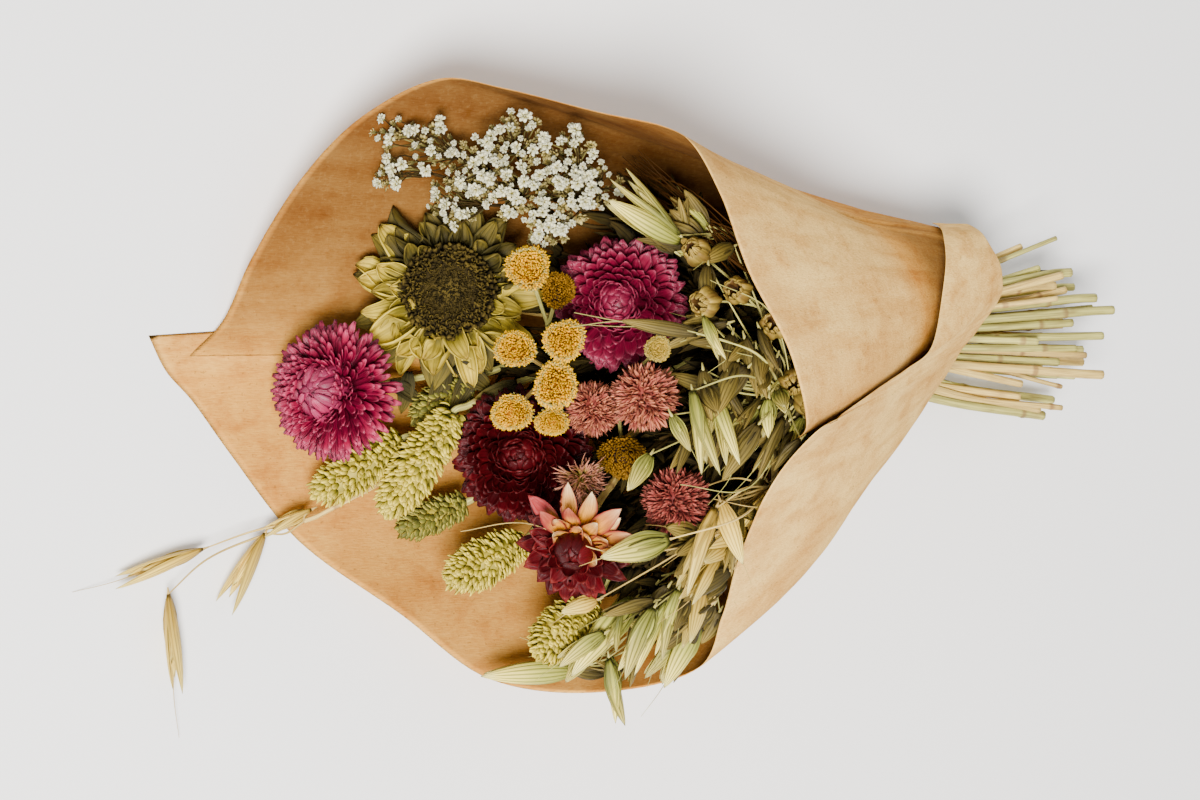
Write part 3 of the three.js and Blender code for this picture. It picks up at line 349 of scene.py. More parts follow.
def grown(name, *stops, specular=0.25, inner=None, inner_from=0.0, edge=None, edge_from=0.6,
          rib=None, ribs=5, other=None, streak=0.3, spread=0.3, rough=0.5, relief=0.15):
    """Petal, husk or scale: colours from root to tip, a middle tone, an edge and lengthwise ribs.

    A stop is (place, red, green, blue), and rib is its colour and strength. Some of the leaves
    turn to the other colour towards their tips."""
    s = Shading(name, rough, specular)
    along, across, shade, depth = s.marks()
    colour = s.ramp(along, *((place, tone(*screen)) for place, *screen in stops))
    if other:
        turned = s.times(s.span(shade, 0.35, 0.75), s.span(along, 0.25, 0.6))
        colour = s.mix(turned, colour, tone(*other))
    if inner:
        colour = s.mix(s.span(depth, inner_from, 1), colour, tone(*inner))
    if edge:
        colour = s.mix(s.span(s.maths("ABSOLUTE", across), edge_from, 1.05), colour, tone(*edge))
    wave = s.maths("COSINE", s.times(across, ribs * math.pi))
    crest = s.span(wave, 0.1, 0.9)
    if rib:
        rib_colour, strength = rib
        colour = s.mix(s.times(crest, strength), colour, tone(*rib_colour))
    lengthwise = s.joined(s.times(along, 1.5), s.times(across, 4.0), s.times(shade, 60.0))
    fibre = s.noise(lengthwise, 2.2, 4.0, 0.6)
    value = s.span(fibre, 0.3, 0.75, 1 - streak, 1 + streak)
    value = s.times(value, s.span(shade, 0, 1, 1 - spread, 1 + spread))
    tint = s.node("HueSaturation", {"Value": value, "Color": colour})
    height = s.maths("ADD", s.times(crest, 0.6), fibre)
    return s.finish(tint.outputs[0], height, relief)


def paper_material():
    """Kraft paper: cloudy mottling, streaks, fine fibres, a few dark flecks and shallow dimples."""
    s = Shading("kraft_paper", 0.95, specular=0.08)
    along, across, shade, _ = s.marks()
    where = s.node("TexCoord", {}).outputs["Object"]
    cloud = s.noise(where, 26.0, 5.0, 0.62)
    blotch = s.noise(where, 90.0, 6.0, 0.7)
    lengthwise = s.joined(s.times(along, 2.5), s.times(across, 26.0), 0.0)
    streak = s.noise(lengthwise, 1.3, 5.0, 0.6)
    grain = s.noise(s.node("Mapping", {0: where, 3: (300.0, 2600.0, 1500.0)}).outputs[0], 1.0, 4.0, 0.65)
    speckle = s.noise(where, 620.0, 3.0, 0.7)
    fleck = s.noise(where, 900.0, 2.0)
    # The shade mark picks painted light and shade, from deep ochre shade to the palest lit paper.
    colour = s.ramp(shade, (0.0, tone(80, 46, 14)), (0.3, tone(122, 85, 41)), (0.55, tone(168, 123, 60)),
                    (0.8, tone(226, 166, 76)), (1.0, tone(255, 216, 132)))
    stains = ((cloud, 0.38, 0.66, 0.6, (222, 200, 176)), (blotch, 0.45, 0.72, 0.7, (222, 200, 174)),
              (streak, 0.4, 0.7, 0.75, (226, 206, 178)), (grain, 0.35, 0.7, 0.6, (218, 196, 168)))
    for pattern, low, high, strength, stain in stains:
        colour = s.mix(s.span(pattern, low, high, 0.0, strength), colour, tone(*stain), "MULTIPLY")
    colour = s.mix(s.span(speckle, 0.5, 0.7, 0.0, 0.04), colour, tone(246, 206, 130))
    colour = s.mix(s.span(fleck, 0.64, 0.74, 0.0, 0.4), colour, tone(92, 60, 26))
    height = s.maths("ADD", s.times(grain, 0.35), blotch)
    return s.finish(colour, height, 0.5)


def floor_material():
    s = Shading("pale_floor", 0.9)
    where = s.node("TexCoord", {}).outputs["Object"]
    soft = s.noise(where, 3.0)
    return s.finish(s.mix(soft, tone(250, 250, 250), tone(246, 246, 246)), soft, 0.01)


def stem_material(name, base, dark, knot, specular=0.3):
    """Ribbed straw whose knots are brownish."""
    base, dark, knot = (tone(*screen) for screen in (base, dark, knot))
    s = Shading(name, 0.6, specular)
    along, across, shade, depth = s.marks()
    lengthwise = s.joined(s.times(along, 0.35), s.times(across, 5.0), s.times(shade, 70.0))
    long_streaks = s.noise(lengthwise, 1.6, 4.0, 0.6)
    colour = s.mix(s.span(long_streaks, 0.35, 0.7), base, dark)
    patches = s.noise(s.joined(along, across, s.times(shade, 90.0)), 0.8, 3.0)
    colour = s.mix(s.span(patches, 0.5, 0.75, 0.0, 0.5), colour, knot)
    colour = s.mix(s.span(depth, 0.2, 0.9, 0.0, 0.75), colour, knot)
    tint = s.node("HueSaturation", {"Value": s.span(shade, 0, 1, 0.8, 1.12), "Color": colour})
    return s.finish(tint.outputs[0], long_streaks, 0.3)


PAPER = paper_material()
STRAW = stem_material("straw_stem", (238, 206, 118), (180, 146, 76), (126, 86, 56))
GREEN_STRAW = stem_material("green_stem", (208, 200, 112), (150, 142, 74), (130, 98, 60))
TWIG = stem_material("dark_twig", (66, 50, 22), (42, 32, 14), (34, 26, 12), 0.08)
BROWN_TWIG = stem_material("brown_twig", (76, 46, 12), (46, 28, 8), (34, 20, 6), 0.06)
TWINE = stem_material("jute", (170, 126, 74), (124, 88, 48), (90, 62, 34))
# The pale pink towards the bract tips is partly their own colour, partly a painted highlight of their sheen.
MAGENTA = grown("magenta_bract", (0.0, 48, 1, 14), (0.35, 98, 3, 36), (0.75, 134, 14, 52),
                (1.0, 180, 62, 94), inner=(150, 44, 80), inner_from=0.6, edge=(136, 22, 58), streak=0.3,
                spread=0.36, rough=0.38, specular=0.35, ribs=4, relief=0.12)
# The brighter red at the bract tips is partly their own colour, partly painted light on the tips.
DARK_RED = grown("dark_red_bract", (0.0, 20, 0, 2), (0.4, 50, 2, 6), (0.85, 66, 4, 10), (1.0, 92, 20, 22),
                 inner=(72, 7, 14), inner_from=0.6, edge=(76, 8, 12), streak=0.25, spread=0.4, rough=0.4,
                 specular=0.16, ribs=4, relief=0.12)
# The brighter tips are partly the bracts' own colour, partly a painted highlight.
OPEN_RED = grown("open_red_bract", (0.0, 104, 44, 8), (0.22, 58, 4, 6), (0.8, 66, 4, 10),
                 (1.0, 112, 38, 32), inner=(68, 5, 10), inner_from=0.5, edge=(96, 20, 22), streak=0.3,
                 spread=0.4, rough=0.42, specular=0.14, ribs=4, relief=0.12)
CREAM_BRACT = grown("cream_bract", (0.0, 150, 84, 8), (0.3, 206, 138, 24), (0.6, 220, 160, 80),
                    (0.85, 236, 196, 136), (1.0, 250, 222, 170), other=(150, 50, 50), edge=(140, 44, 44),
                    edge_from=0.4, streak=0.22, spread=0.15, rough=0.45, ribs=4, relief=0.12)
# The dim root of the ray petals is partly their own colour and partly painted shade between them.
RAY = grown("sunflower_petal", (0.0, 52, 46, 10), (0.35, 108, 96, 24), (0.75, 184, 160, 48),
            (1.0, 140, 112, 32), edge=(196, 172, 62), rib=((96, 84, 22), 0.4), ribs=5, streak=0.22,
            spread=0.36, rough=0.6, relief=0.3)
SEPAL = grown("sunflower_sepal", (0.0, 34, 30, 7), (0.6, 66, 57, 14), (1.0, 106, 90, 24),
              rib=((60, 56, 18), 0.5), ribs=4, streak=0.3, spread=0.35, rough=0.7, relief=0.3)
DISC_FLORET = grown("sunflower_floret", (0.0, 18, 13, 4), (0.5, 36, 28, 10), (1.0, 84, 70, 26),
                    inner=(32, 27, 10), inner_from=0.25, streak=0.3, spread=0.5, rough=0.85, specular=0.12)
SALMON = grown("salmon_spike", (0.0, 92, 34, 28), (0.4, 164, 74, 62), (0.8, 206, 108, 88),
               (1.0, 226, 146, 116), other=(204, 122, 88), streak=0.15, spread=0.28, rough=0.55, relief=0.1)
DUSKY = grown("dusky_spike", (0.0, 72, 22, 20), (0.4, 136, 54, 50), (0.8, 176, 82, 70), (1.0, 200, 120, 98),
              streak=0.15, spread=0.28, rough=0.55, relief=0.1)
HALF_OPEN = grown("half_open_spike", (0.0, 120, 110, 36), (0.35, 180, 156, 70), (0.7, 190, 118, 90),
                  (1.0, 222, 158, 132), streak=0.2, spread=0.25, rough=0.5, relief=0.1)
GOLDEN = grown("golden_floret", (0.0, 150, 90, 0), (0.5, 226, 158, 0), (0.85, 252, 194, 0), streak=0.12,
               spread=0.22, rough=0.8, specular=0.05)
PALE_GOLDEN = grown("pale_floret", (0.0, 130, 100, 12), (0.5, 214, 174, 48), (1.0, 244, 210, 92),
                    streak=0.15, spread=0.2, rough=0.7)
BROWN_GOLD = grown("brown_floret", (0.0, 60, 34, 2), (0.5, 126, 82, 4), (1.0, 178, 128, 14), streak=0.2,
                   spread=0.3, rough=0.7)
WOOL = grown("woolly_rim", (0.0, 240, 192, 50), (0.5, 255, 228, 104), (1.0, 255, 246, 170), streak=0.1,
             spread=0.15, rough=0.85, specular=0.15)
# Grass scales: the dim root is partly their own colour and partly painted shade between the scales; the inner
# colour is painted shade for heads that lie behind the others.
SCALE = grown("grass_scale", (0.0, 64, 64, 14), (0.4, 140, 128, 28), (0.8, 212, 188, 60),
              (1.0, 244, 218, 92), edge=(228, 204, 80), edge_from=0.55, inner=(84, 86, 34),
              rib=((94, 98, 30), 0.5), ribs=2, streak=0.15, spread=0.25, rough=0.6, relief=0.1)
FLORET = grown("white_floret", (0.0, 210, 192, 96), (0.35, 255, 248, 188), (1.0, 255, 255, 226),
               streak=0.06, spread=0.08, rough=0.7)
# Beige florets set deeper: partly older florets, partly painted shade under the white ones.
OLD_FLORET_IN_SHADE = grown("faded_floret_in_shade", (0.0, 104, 84, 30), (0.4, 178, 158, 84), (1.0, 226, 208, 138),
                   streak=0.1, spread=0.35, rough=0.75)
CALYX = grown("green_calyx", (0.0, 84, 76, 34), (1.0, 130, 120, 62), rough=0.7)
HUSK = grown("oat_husk", (0.0, 158, 126, 44), (0.4, 212, 178, 74), (0.85, 240, 210, 104),
             (1.0, 255, 236, 146), rib=((148, 110, 38), 0.55), ribs=7, streak=0.16, spread=0.25, rough=0.5,
             relief=0.25)
GREEN_HUSK = grown("oat_green_husk", (0.0, 104, 104, 38), (0.35, 160, 156, 66), (0.8, 236, 214, 104),
                   (1.0, 255, 240, 150), rib=((92, 98, 34), 0.7), ribs=7, streak=0.16, spread=0.34,
                   rough=0.5, relief=0.25)
# Husks deep in the sprays and under the flap: a dim copy of the husk, painted shade.
HUSK_IN_SHADE = grown("oat_shaded_husk", (0.0, 56, 46, 15), (0.5, 98, 84, 32), (1.0, 152, 128, 58),
                  rib=((60, 50, 18), 0.65), ribs=7, streak=0.2, spread=0.45, rough=0.55, relief=0.25)
# Dry leaves drawn near black: partly their own colour, partly painted shade between the blooms.
SHADE_FOLIAGE = grown("dry_leaf", (0.0, 38, 28, 10), (0.6, 52, 44, 16), (1.0, 80, 64, 26),
                rib=((30, 25, 12), 0.5), ribs=3, streak=0.3, spread=0.4, rough=0.85, relief=0.25,
                specular=0.1)
POD = grown("pod_skin", (0.0, 100, 82, 34), (0.6, 166, 138, 56), (1.0, 222, 190, 96), inner=(64, 38, 10),
            rib=((96, 66, 26), 0.6), ribs=5, streak=0.3, spread=0.25, rough=0.6, relief=0.25)

# ---- camera, light and floor ----

TARGET = Vector((0, 0, 40)) * MM
CAMERA_TILT = math.radians(23)  # leans from the vertical towards the mouth of the wrap
CAMERA_DISTANCE = 1.0
VIEW_WIDTH = 0.42  # what the picture's width takes in at the target


def add_camera():
    data = bpy.data.cameras.new("camera")
    data.lens = data.sensor_width * CAMERA_DISTANCE / VIEW_WIDTH
    camera = placed("camera", data)
    back = Vector((-math.sin(CAMERA_TILT), 0, math.cos(CAMERA_TILT)))
    camera.location = TARGET + CAMERA_DISTANCE * back
    camera.rotation_euler = (0, -CAMERA_TILT, 0)
    bpy.context.scene.camera = camera


def add_light(name, direction, distance, size, watts, colour=(1, 1, 1)):
    data = bpy.data.lights.new(name, "AREA")
    data.shape, data.size, data.energy, data.color = "DISK", size, watts, colour
    lamp = placed(name, data)
    away = Vector(direction).normalized()
    lamp.location = TARGET + distance * away
    lamp.rotation_euler = away.to_track_quat("Z", "Y").to_euler()


def add_stage():
    side = 8.0
    mesh = bpy.data.meshes.new("floor")
    corners = [(-side, -side, 0), (side, -side, 0), (side, side, 0), (-side, side, 0)]
    mesh.from_pydata(corners, [], [(0, 1, 2, 3)])
    mesh.materials.append(floor_material())
    floor = placed("floor", mesh)
    world = bpy.data.worlds.new("studio")
    world.use_nodes = True
    world.node_tree.nodes["Background"].inputs["Color"].default_value = (1, 1, 1, 1)
    world.node_tree.nodes["Background"].inputs["Strength"].default_value = 0.5
    bpy.context.scene.world = world
    add_light("key", (-0.45, -0.32, 1.0), 1.6, 0.6, 72, (1.0, 0.97, 0.93))
    add_light("fill", (0.7, 0.4, 1.0), 1.8, 1.4, 7)


# ---- paper ----

PAPER_SOLID = 0.8  # thickness of the solid that the sheet stands for
PAPER_THICKNESS = 0.3
# Fold lines: (rim point, neck point, bulge between them, dent near the neck).
OUTER_SHEET = [
    ((134, 66, 38), (149, 66, 30), 0), ((129, 63.5, 52), (147, 65, 43), 0),
    ((124, 59, 64), (146, 61, 54), 1), ((120, 49, 73), (151, 55, 54), 1),
    ((115, 32, 77.5), (155, 47, 53), 1), ((107, 17, 84), (156, 39, 51), 1),
    ((95, 10, 88), (154, 33, 48), 0), ((75, 2, 100.5), (151, 27, 45), 0),
    ((58, -5, 111.5), (148, 22, 42), 1), ((42, -11, 123), (146, 17, 38), 2),
    ((37, -20, 114), (144, 12, 35), 4), ((33, -33, 103), (142, 7, 32), 6),
    ((33, -54, 84), (140, 3, 29), 8), ((36, -76, 64), (139, 0, 25), 9, 2),
    ((33, -94, 52), (138, -1, 20), 8, 3.5), ((2, -103, 36), (139, -1, 14), 6, 3.5),
    ((-35, -98, 24), (140, 2, 7), 4, 1), ((-65, -75, 15), (142, 6, 1.5), 2),
    ((-98, -49, 0), (144, 10, 0), 0), ((-122, -19, 0), (146, 19, 0), 0),
    ((-136, 0, 0), (148, 28, 0), 0), ((-145, 10, 0), (149, 36, 0), 0),
    ((-151, 22, 0), (150, 44, 2.5), 0),
]
INNER_SHEET = [
    ((-137, 15, 1.15), (146, 20, 1.15), 0), ((-126, 27, 3), (146, 30, 1.3), 0),
    ((-119, 48, 14), (146, 40, 2.6), 1), ((-105, 75, 26), (146, 50, 8), 3),
    ((-87, 96, 38), (146, 57, 15), 3), ((-63, 109, 50), (145, 61, 23), 1),
    ((-45, 106, 60), (144, 63, 31), -2, 1), ((-16, 97, 78), (143, 63, 39), -3, 3),
    ((0, 92, 92), (142, 61.5, 45), -5, 3.5), ((6, 86, 102), (142, 58, 48), -5, 3),
    ((12, 69, 112), (144, 52, 49.5), -2, 1), ((19, 42, 120), (147, 45, 49), 2),
    ((32, 16, 124), (147, 37, 46), 3.5), ((39.5, -8, 121.5), (144, 28, 41), 3),
    ((43, -14, 106), (141, 20, 35), 0),
]
# How pale a sheet is inside and outside, from the first fold to the last: painted light and shade,
# as folds face the lamp or lie in shade. Then how much painted shade darkens the outside near the neck.
OUTER_PAINTED_LIGHT = ([0.3, 0.3, 0.3, 0.3, 0.6, 0.72, 0.85], [1, 1, 1, 1, 0.94, 0.88, 0.85], [0])
INNER_PAINTED_LIGHT = ([0.72, 0.37, 0.27, 0.32, 0.58, 0.66, 0.6], [0.85, 0.85, 0.85, 0.88, 0.96, 0.98, 0.84],
               [0, 0, 0.05, 0.2, 0.42, 0.5, 0.3])
COLUMNS_PER_FOLD = 10
PAPER_ROWS = 90
WRINKLE = 0.25  # height of the shallow waves in the paper
LONG_WAVE, SHORT_WAVE = 26, 9  # lengths of those waves
DENT_PLACE, DENT_LENGTH = 0.66, 0.17  # of the dents near the neck, as shares from rim to neck
CREASE = 2.0  # how much deeper the long creases are that run towards the neck


def add_sheet(name, folds, inside, outside, neck_shade):
    """The sheet is ruled from its rim to its neck, bulges between them and waves a little."""
    columns = (len(folds) - 1) * COLUMNS_PER_FOLD + 1
    u, share = np.linspace(0, 1, columns), np.linspace(0, 1, PAPER_ROWS)
    rim, neck = (curve_through([fold[k] for fold in folds], u) for k in (0, 1))
    fold_places = np.linspace(0, 1, len(folds))
    bulge = np.interp(u, fold_places, [fold[2] for fold in folds])
    dent = np.interp(u, fold_places, [fold[3] if len(fold) > 3 else 0 for fold in folds])
    ruled = rim[None] + share[:, None, None] * (neck - rim)[None]
    normal = unit(np.cross(np.gradient(ruled, axis=1), (neck - rim)[None]))
    dip = np.exp(-(((share - DENT_PLACE) / DENT_LENGTH) ** 2))
    arch = (4 * share * (1 - share))[:, None] * bulge - dip[:, None] * dent
    waves = np.array([noise.noise(Vector(p) / LONG_WAVE) + 0.4 * noise.noise(Vector(p) / SHORT_WAVE)
                      for p in ruled.reshape(-1, 3)]).reshape(arch.shape)
    creases = np.array([[noise.noise(Vector((2.2 * across, 1.6 * along, 5))) for across in 12 * u]
                        for along in share])
    waves += CREASE * creases * np.clip(6 * share, 0, 1)[:, None]
    surface = ruled + (arch + WRINKLE * waves - PAPER_SOLID / 2)[..., None] * normal
    surface[..., 2] = np.maximum(surface[..., 2], PAPER_THICKNESS / 2)
    grow = Growth()
    # Painted light and shade: the fold lists set each column's paleness, and the outside gains painted shade
    # by the neck.
    inner, outer, painted_neck_shade = (np.interp(u, np.linspace(0, 1, len(k)), k) for k in (inside, outside, neck_shade))
    neck_shade_reach = np.clip((share - 0.5) / 0.3, 0, 1)[:, None] ** 2
    add_thin(grow, surface[None], PAPER_THICKNESS, share[:, None], u, (inner, outer - neck_shade_reach * painted_neck_shade))
    return grow.piece(name + "_paper", "kraft_paper", [name], PAPER)


HEART = Vector((60, 14, 46))  # a point well inside the paper


def wall_of(sheet):
    """The sheet as a search tree, in millimetres."""
    points = [vertex.co / MM for vertex in sheet.data.vertices]
    return BVHTree.FromPolygons(points, [face.vertices for face in sheet.data.polygons])


def held_inside(point, clearance=3.0):
    """The point itself, or the nearest one on its way to the heart that is clear of the paper."""
    ray = Vector(point) - HEART
    reach = ray.length
    for wall in WALLS:
        distance = wall.ray_cast(HEART, ray, reach + clearance)[3]
        if distance is not None:
            reach = min(reach, distance - clearance)
    return np.array(HEART + reach * ray.normalized())


# ---- stems ----

TIE_MIDDLE = np.array([100.0, 24.0, 18.8])
STEM_RADIUS = 1.75
STEM_STEP = 1.6
KNOT_SPACING = (38, 60)


def centreline(node, start_x):
    """Middle points of a node's stem, on cuts across X from start_x to the cut end."""
    mesh = frame["nodes"][node].data
    points = np.empty(len(mesh.vertices) * 3)
    mesh.vertices.foreach_get("co", points)
    points = points.reshape(-1, 3) / MM
    edges = np.empty(len(mesh.edges) * 2, int)
    mesh.edges.foreach_get("vertices", edges)
    a, b = points[edges.reshape(-1, 2).T]
    end_x = points[:, 0].max()
    middles = []
    for x in np.linspace(start_x, end_x - 0.2, max(3, int((end_x - start_x) / 7))):
        crossing = (a[:, 0] - x) * (b[:, 0] - x) < 0
        p, q = a[crossing], b[crossing]
        if len(p):
            cut = p + (q - p) * ((x - p[:, 0]) / (q[:, 0] - p[:, 0]))[:, None]
            middles.append((cut.min(0) + cut.max(0)) / 2)
    return np.array(middles)


def add_stem(grow, node, lead, seed, radius=STEM_RADIUS, slim_end=0.8, material=0):
    """The stem from its lead, the points next to the bloom, through the tie to the cut end."""
    rng = np.random.default_rng(seed)
    path = np.concatenate([lead, centreline(node, lead[-1][0] + 5)])
    length = np.linalg.norm(np.diff(path, axis=0), axis=1).sum()
    path = curve_through(path, np.linspace(0, 1, int(length / STEM_STEP)))
    knots = np.arange(length - rng.uniform(12, 45), 0, -rng.uniform(*KNOT_SPACING))
    slim = radius * rng.uniform(0.78, 1.0)
    add_tube(grow, path, np.linspace(slim_end, 1, len(path)) * slim, sides=14, ribs=7, knots=knots,
             shade=rng.uniform(), hollow=True, material=material)


def seat_lead(seat, axis):
    seat, axis = np.array(seat, float), unit(np.array(axis, float))
    return np.array([seat, seat - 5 * axis])


# ---- blooms ----

UP_LEFT = (-0.5, -0.05, 0.86)
# name: (centre, facing, radius, form, slot)
STRAWFLOWERS = {
    "left": ((-95, 3, 27), (-0.78, 0.02, 0.62), 23.5, "full", "magenta_bract"),
    "back": ((-2, 33, 62), (-0.55, 0, 0.83), 23, "domed", "magenta_bract"),
    "middle": ((-33, -19, 49), UP_LEFT, 23.5, "domed", "dark_red_bract"),
    "open": ((-26, -49, 80), (-0.5, -0.3, 0.81), 18, "open", "open_red_bract"),
}
STRAP = outline(0.6, 0.8, 0.35, 0.4)
BLUNT = outline(0.5, 0.75, 0.4, 0.22)
POINTED = outline(0.55, 0.5, 0.75)


def outward_at(turn):
    return np.stack([np.cos(turn), np.sin(turn), np.zeros_like(turn)], 1)


def shares(count):
    """Even steps between 0 and 1, one for each of count leaves."""
    return (np.arange(count) + 0.5) / count


def golden_ring(count):
    """Level directions, each turned by the golden angle from the one before."""
    return outward_at(np.arange(count) * GOLDEN_TURN)


def uneven_ring(count, jitter, rng):
    """Level directions round the axis, each a little off its even place."""
    return outward_at(2 * np.pi * (np.arange(count) + rng.normal(0, jitter, count)) / count)


def add_bracts(grow, radius, count, rng, *, low=-0.15, high=1.0, reach=0.74, width=0.16, curl=1.0,
               form=BLUNT, sector=None, pale=1.0, material=0):
    """Bracts that radiate from the core, the later ones steeper. Low and high are their slopes."""
    s = shares(count)
    turn = np.arange(count) * GOLDEN_TURN
    rise = low + (high - low) * s**1.3 + rng.normal(0, 0.08, count)
    spread = rng.uniform(0.92, 1.04, count)
    shade = rng.uniform(0, pale, count)
    if sector:
        kept = np.abs((turn - sector[0] + np.pi) % (2 * np.pi) - np.pi) < sector[1]
        s, turn, rise, spread, shade = (values[kept] for values in (s, turn, rise, spread, shade))
        count = len(s)
    outward = outward_at(turn)
    along, over = np.cos(rise)[:, None], np.sin(rise)[:, None]
    way, above = along * outward + over * UP, along * UP - over * outward
    root = radius * (0.42 * UP + np.interp(s, [0, 1], [0.36, 0.26])[:, None] * way)
    length = radius * reach * np.interp(s, [0, 0.5, 1], [1, 0.85, 0.48]) * spread
    bend = curl * np.interp(s, [0, 0.5, 1], [0.3, 0.9, 1.5]) + rng.normal(0, 0.22, count)
    add_leaves(grow, root, way + rng.normal(0, 0.06, way.shape), above, length, radius * width * spread,
               form, bend=bend, cup=rng.uniform(0.6, 1.3, count), ruffle=0.1, twist=rng.normal(0, 0.3, count),
               thick=0.2, shade=shade, depth=0.5 * s, rows=8, cols=5, material=material)


def add_bud(grow, radius, count, rng, *, middle=0.5, out=0.38, rise=0.5, width=0.25, low=1.6, high=0.6,
            sweep=(0.95, 0.65), glow=1.0, pale=1.0, material=0):
    """The closed middle: scales over an egg shape, each over the next and open a little on top."""
    s = shares(count)
    outward = golden_ring(count)
    start = low + (high - low) * s + rng.normal(0, 0.05, count)
    sweep = np.interp(s, [0, 1], sweep) + rng.normal(0, 0.06, count)
    size = np.interp(s, [0, 1], [1.0, 0.78])[:, None] * radius

    def on_egg(polar):
        return size * (out * np.sin(polar)[:, None] * outward + rise * np.cos(polar)[:, None] * UP)

    root, tip = on_egg(start), on_egg(start - sweep)
    chord = np.linalg.norm(tip - root, axis=1)
    add_leaves(grow, root + middle * radius * UP, tip - root, -on_egg(start - sweep / 2), chord * 1.1,
               radius * width * rng.uniform(0.85, 1.1, count), outline(0.75, 0.5, 0.55), bend=sweep, cup=0.85,
               thick=0.25, shade=rng.uniform(0, pale, count), depth=glow * rng.uniform(0.8, 1.0, count),
               rows=8, cols=6, material=material)


def add_lathe(grow, profile, sectors, relief=None, depth=0.0, shade=0.5, along=None, material=0):
    """A round form turned from a profile of (radius, height), from bottom to top."""
    turn = np.linspace(0, 2 * np.pi, sectors, endpoint=False)
    profile = np.array(profile, float)
    rings = np.stack([profile[:, :1] * np.cos(turn), profile[:, :1] * np.sin(turn),
                      np.repeat(profile[:, 1:], sectors, 1)], -1)
    if relief is not None:
        rings[..., :2] *= relief[..., None]
    along = np.linspace(0, 1, len(rings))[:, None] if along is None else along
    across = np.linspace(-1, 1, sectors)
    grow.add(rings, ring_quads(len(rings), sectors), along, across, shade, depth, material)


def seat_of(centre, facing, half_height):
    return np.array(centre, float) - unit(np.array(facing, float)) * half_height


def add_strawflower(name, centre, facing, radius, form, slot):
    rng = np.random.default_rng(len(name) * 31 + int(radius))
    seat = seat_of(centre, facing, 0.5 * radius)
    grow = Growth().stand(seat, facing)
    core = [(0.05, 0), (0.3, 0.12), (0.4, 0.35), (0.3, 0.55), (0.05, 0.62)]
    add_lathe(grow, [(out * radius, up * radius) for out, up in core], 20)
    if form == "full":
        add_bracts(grow, radius, 420, rng, reach=0.72, width=0.11, form=STRAP)
        add_bud(grow, radius, 30, rng, middle=0.56, out=0.47, width=0.2, low=1.75, sweep=(1.2, 0.8))
    elif form == "domed":
        # The back bloom stands in the shade of the others, so its bracts and bud are drawn dim: painted
        # shade. The middle bloom is drawn a little dim too, and both buds are less pink inside.
        pale = 0.25 if name == "back" else 0.6
        add_bracts(grow, radius, 280, rng, high=1.15, reach=0.72, width=0.2, curl=1.4, pale=pale)
        add_bud(grow, radius, 22, rng, width=0.3, glow=0.75, pale=pale)
    else:
        add_bracts(grow, radius, 40, rng, low=0.15, high=0.95, reach=1.02, width=0.36, form=POINTED,
                   sector=(1.2, 1.3), material=1)
        add_bracts(grow, radius, 56, rng, low=-0.05, high=0.9, reach=0.84, width=0.4, form=POINTED,
                   sector=(-1.9, 2.0))
        add_bud(grow, radius, 11, rng, middle=0.55, out=0.42, rise=0.55, width=0.5, sweep=(1.2, 0.9))
    look = {"magenta_bract": MAGENTA, "dark_red_bract": DARK_RED, "open_red_bract": OPEN_RED}[slot]
    node = "strawflower_" + name
    grow.piece(node + "_bracts", slot, [node + "_head"], look, CREAM_BRACT)
    add_plain_stem(node + "_stem", seat, facing, 40 + len(name))


STEM_SLOTS = {entry["node"]: entry["material_slot"] for entry in frame["record"]["subparts"]}
STEM_LOOKS = {"straw_stem": STRAW, "green_stem": GREEN_STRAW}


def add_plain_stem(node, seat, facing, seed, radius=STEM_RADIUS):
    grow = Growth()
    axis = unit(np.array(facing, float))
    add_stem(grow, node, seat_lead(seat - 0.35 * axis, axis), seed, radius)
    slot = STEM_SLOTS[node]
    grow.piece(node + "_straw", slot, [node], STEM_LOOKS[slot])


SUNFLOWER_CENTRE, SUNFLOWER_FACING = (-54, 37, 33), (-0.3, 0.1, 0.95)
HEAD_HEIGHT, DISC_HEIGHT = 6, 6.95  # of the head's middle and of the disc's foot, over the seat
DISC_RADIUS = 14.6
DISC_FLORETS = 620
SEPALS = 11
RAY_FORM = outline(0.6, 0.5, 0.5, 0.1)
# rows of ray petals: (number, reach from the axis, rise of the tip, width, bend)
RAY_ROWS = [(15, 33, 4, 9, 0.3), (18, 30.5, 7, 9, 0.8), (16, 27, 11.5, 8.5, 1.4), (14, 22.5, 12.5, 6.5, 2.1)]
GREEN_SHADED_SIDE = 1.25  # the turn round the axis at which the greener petals stand


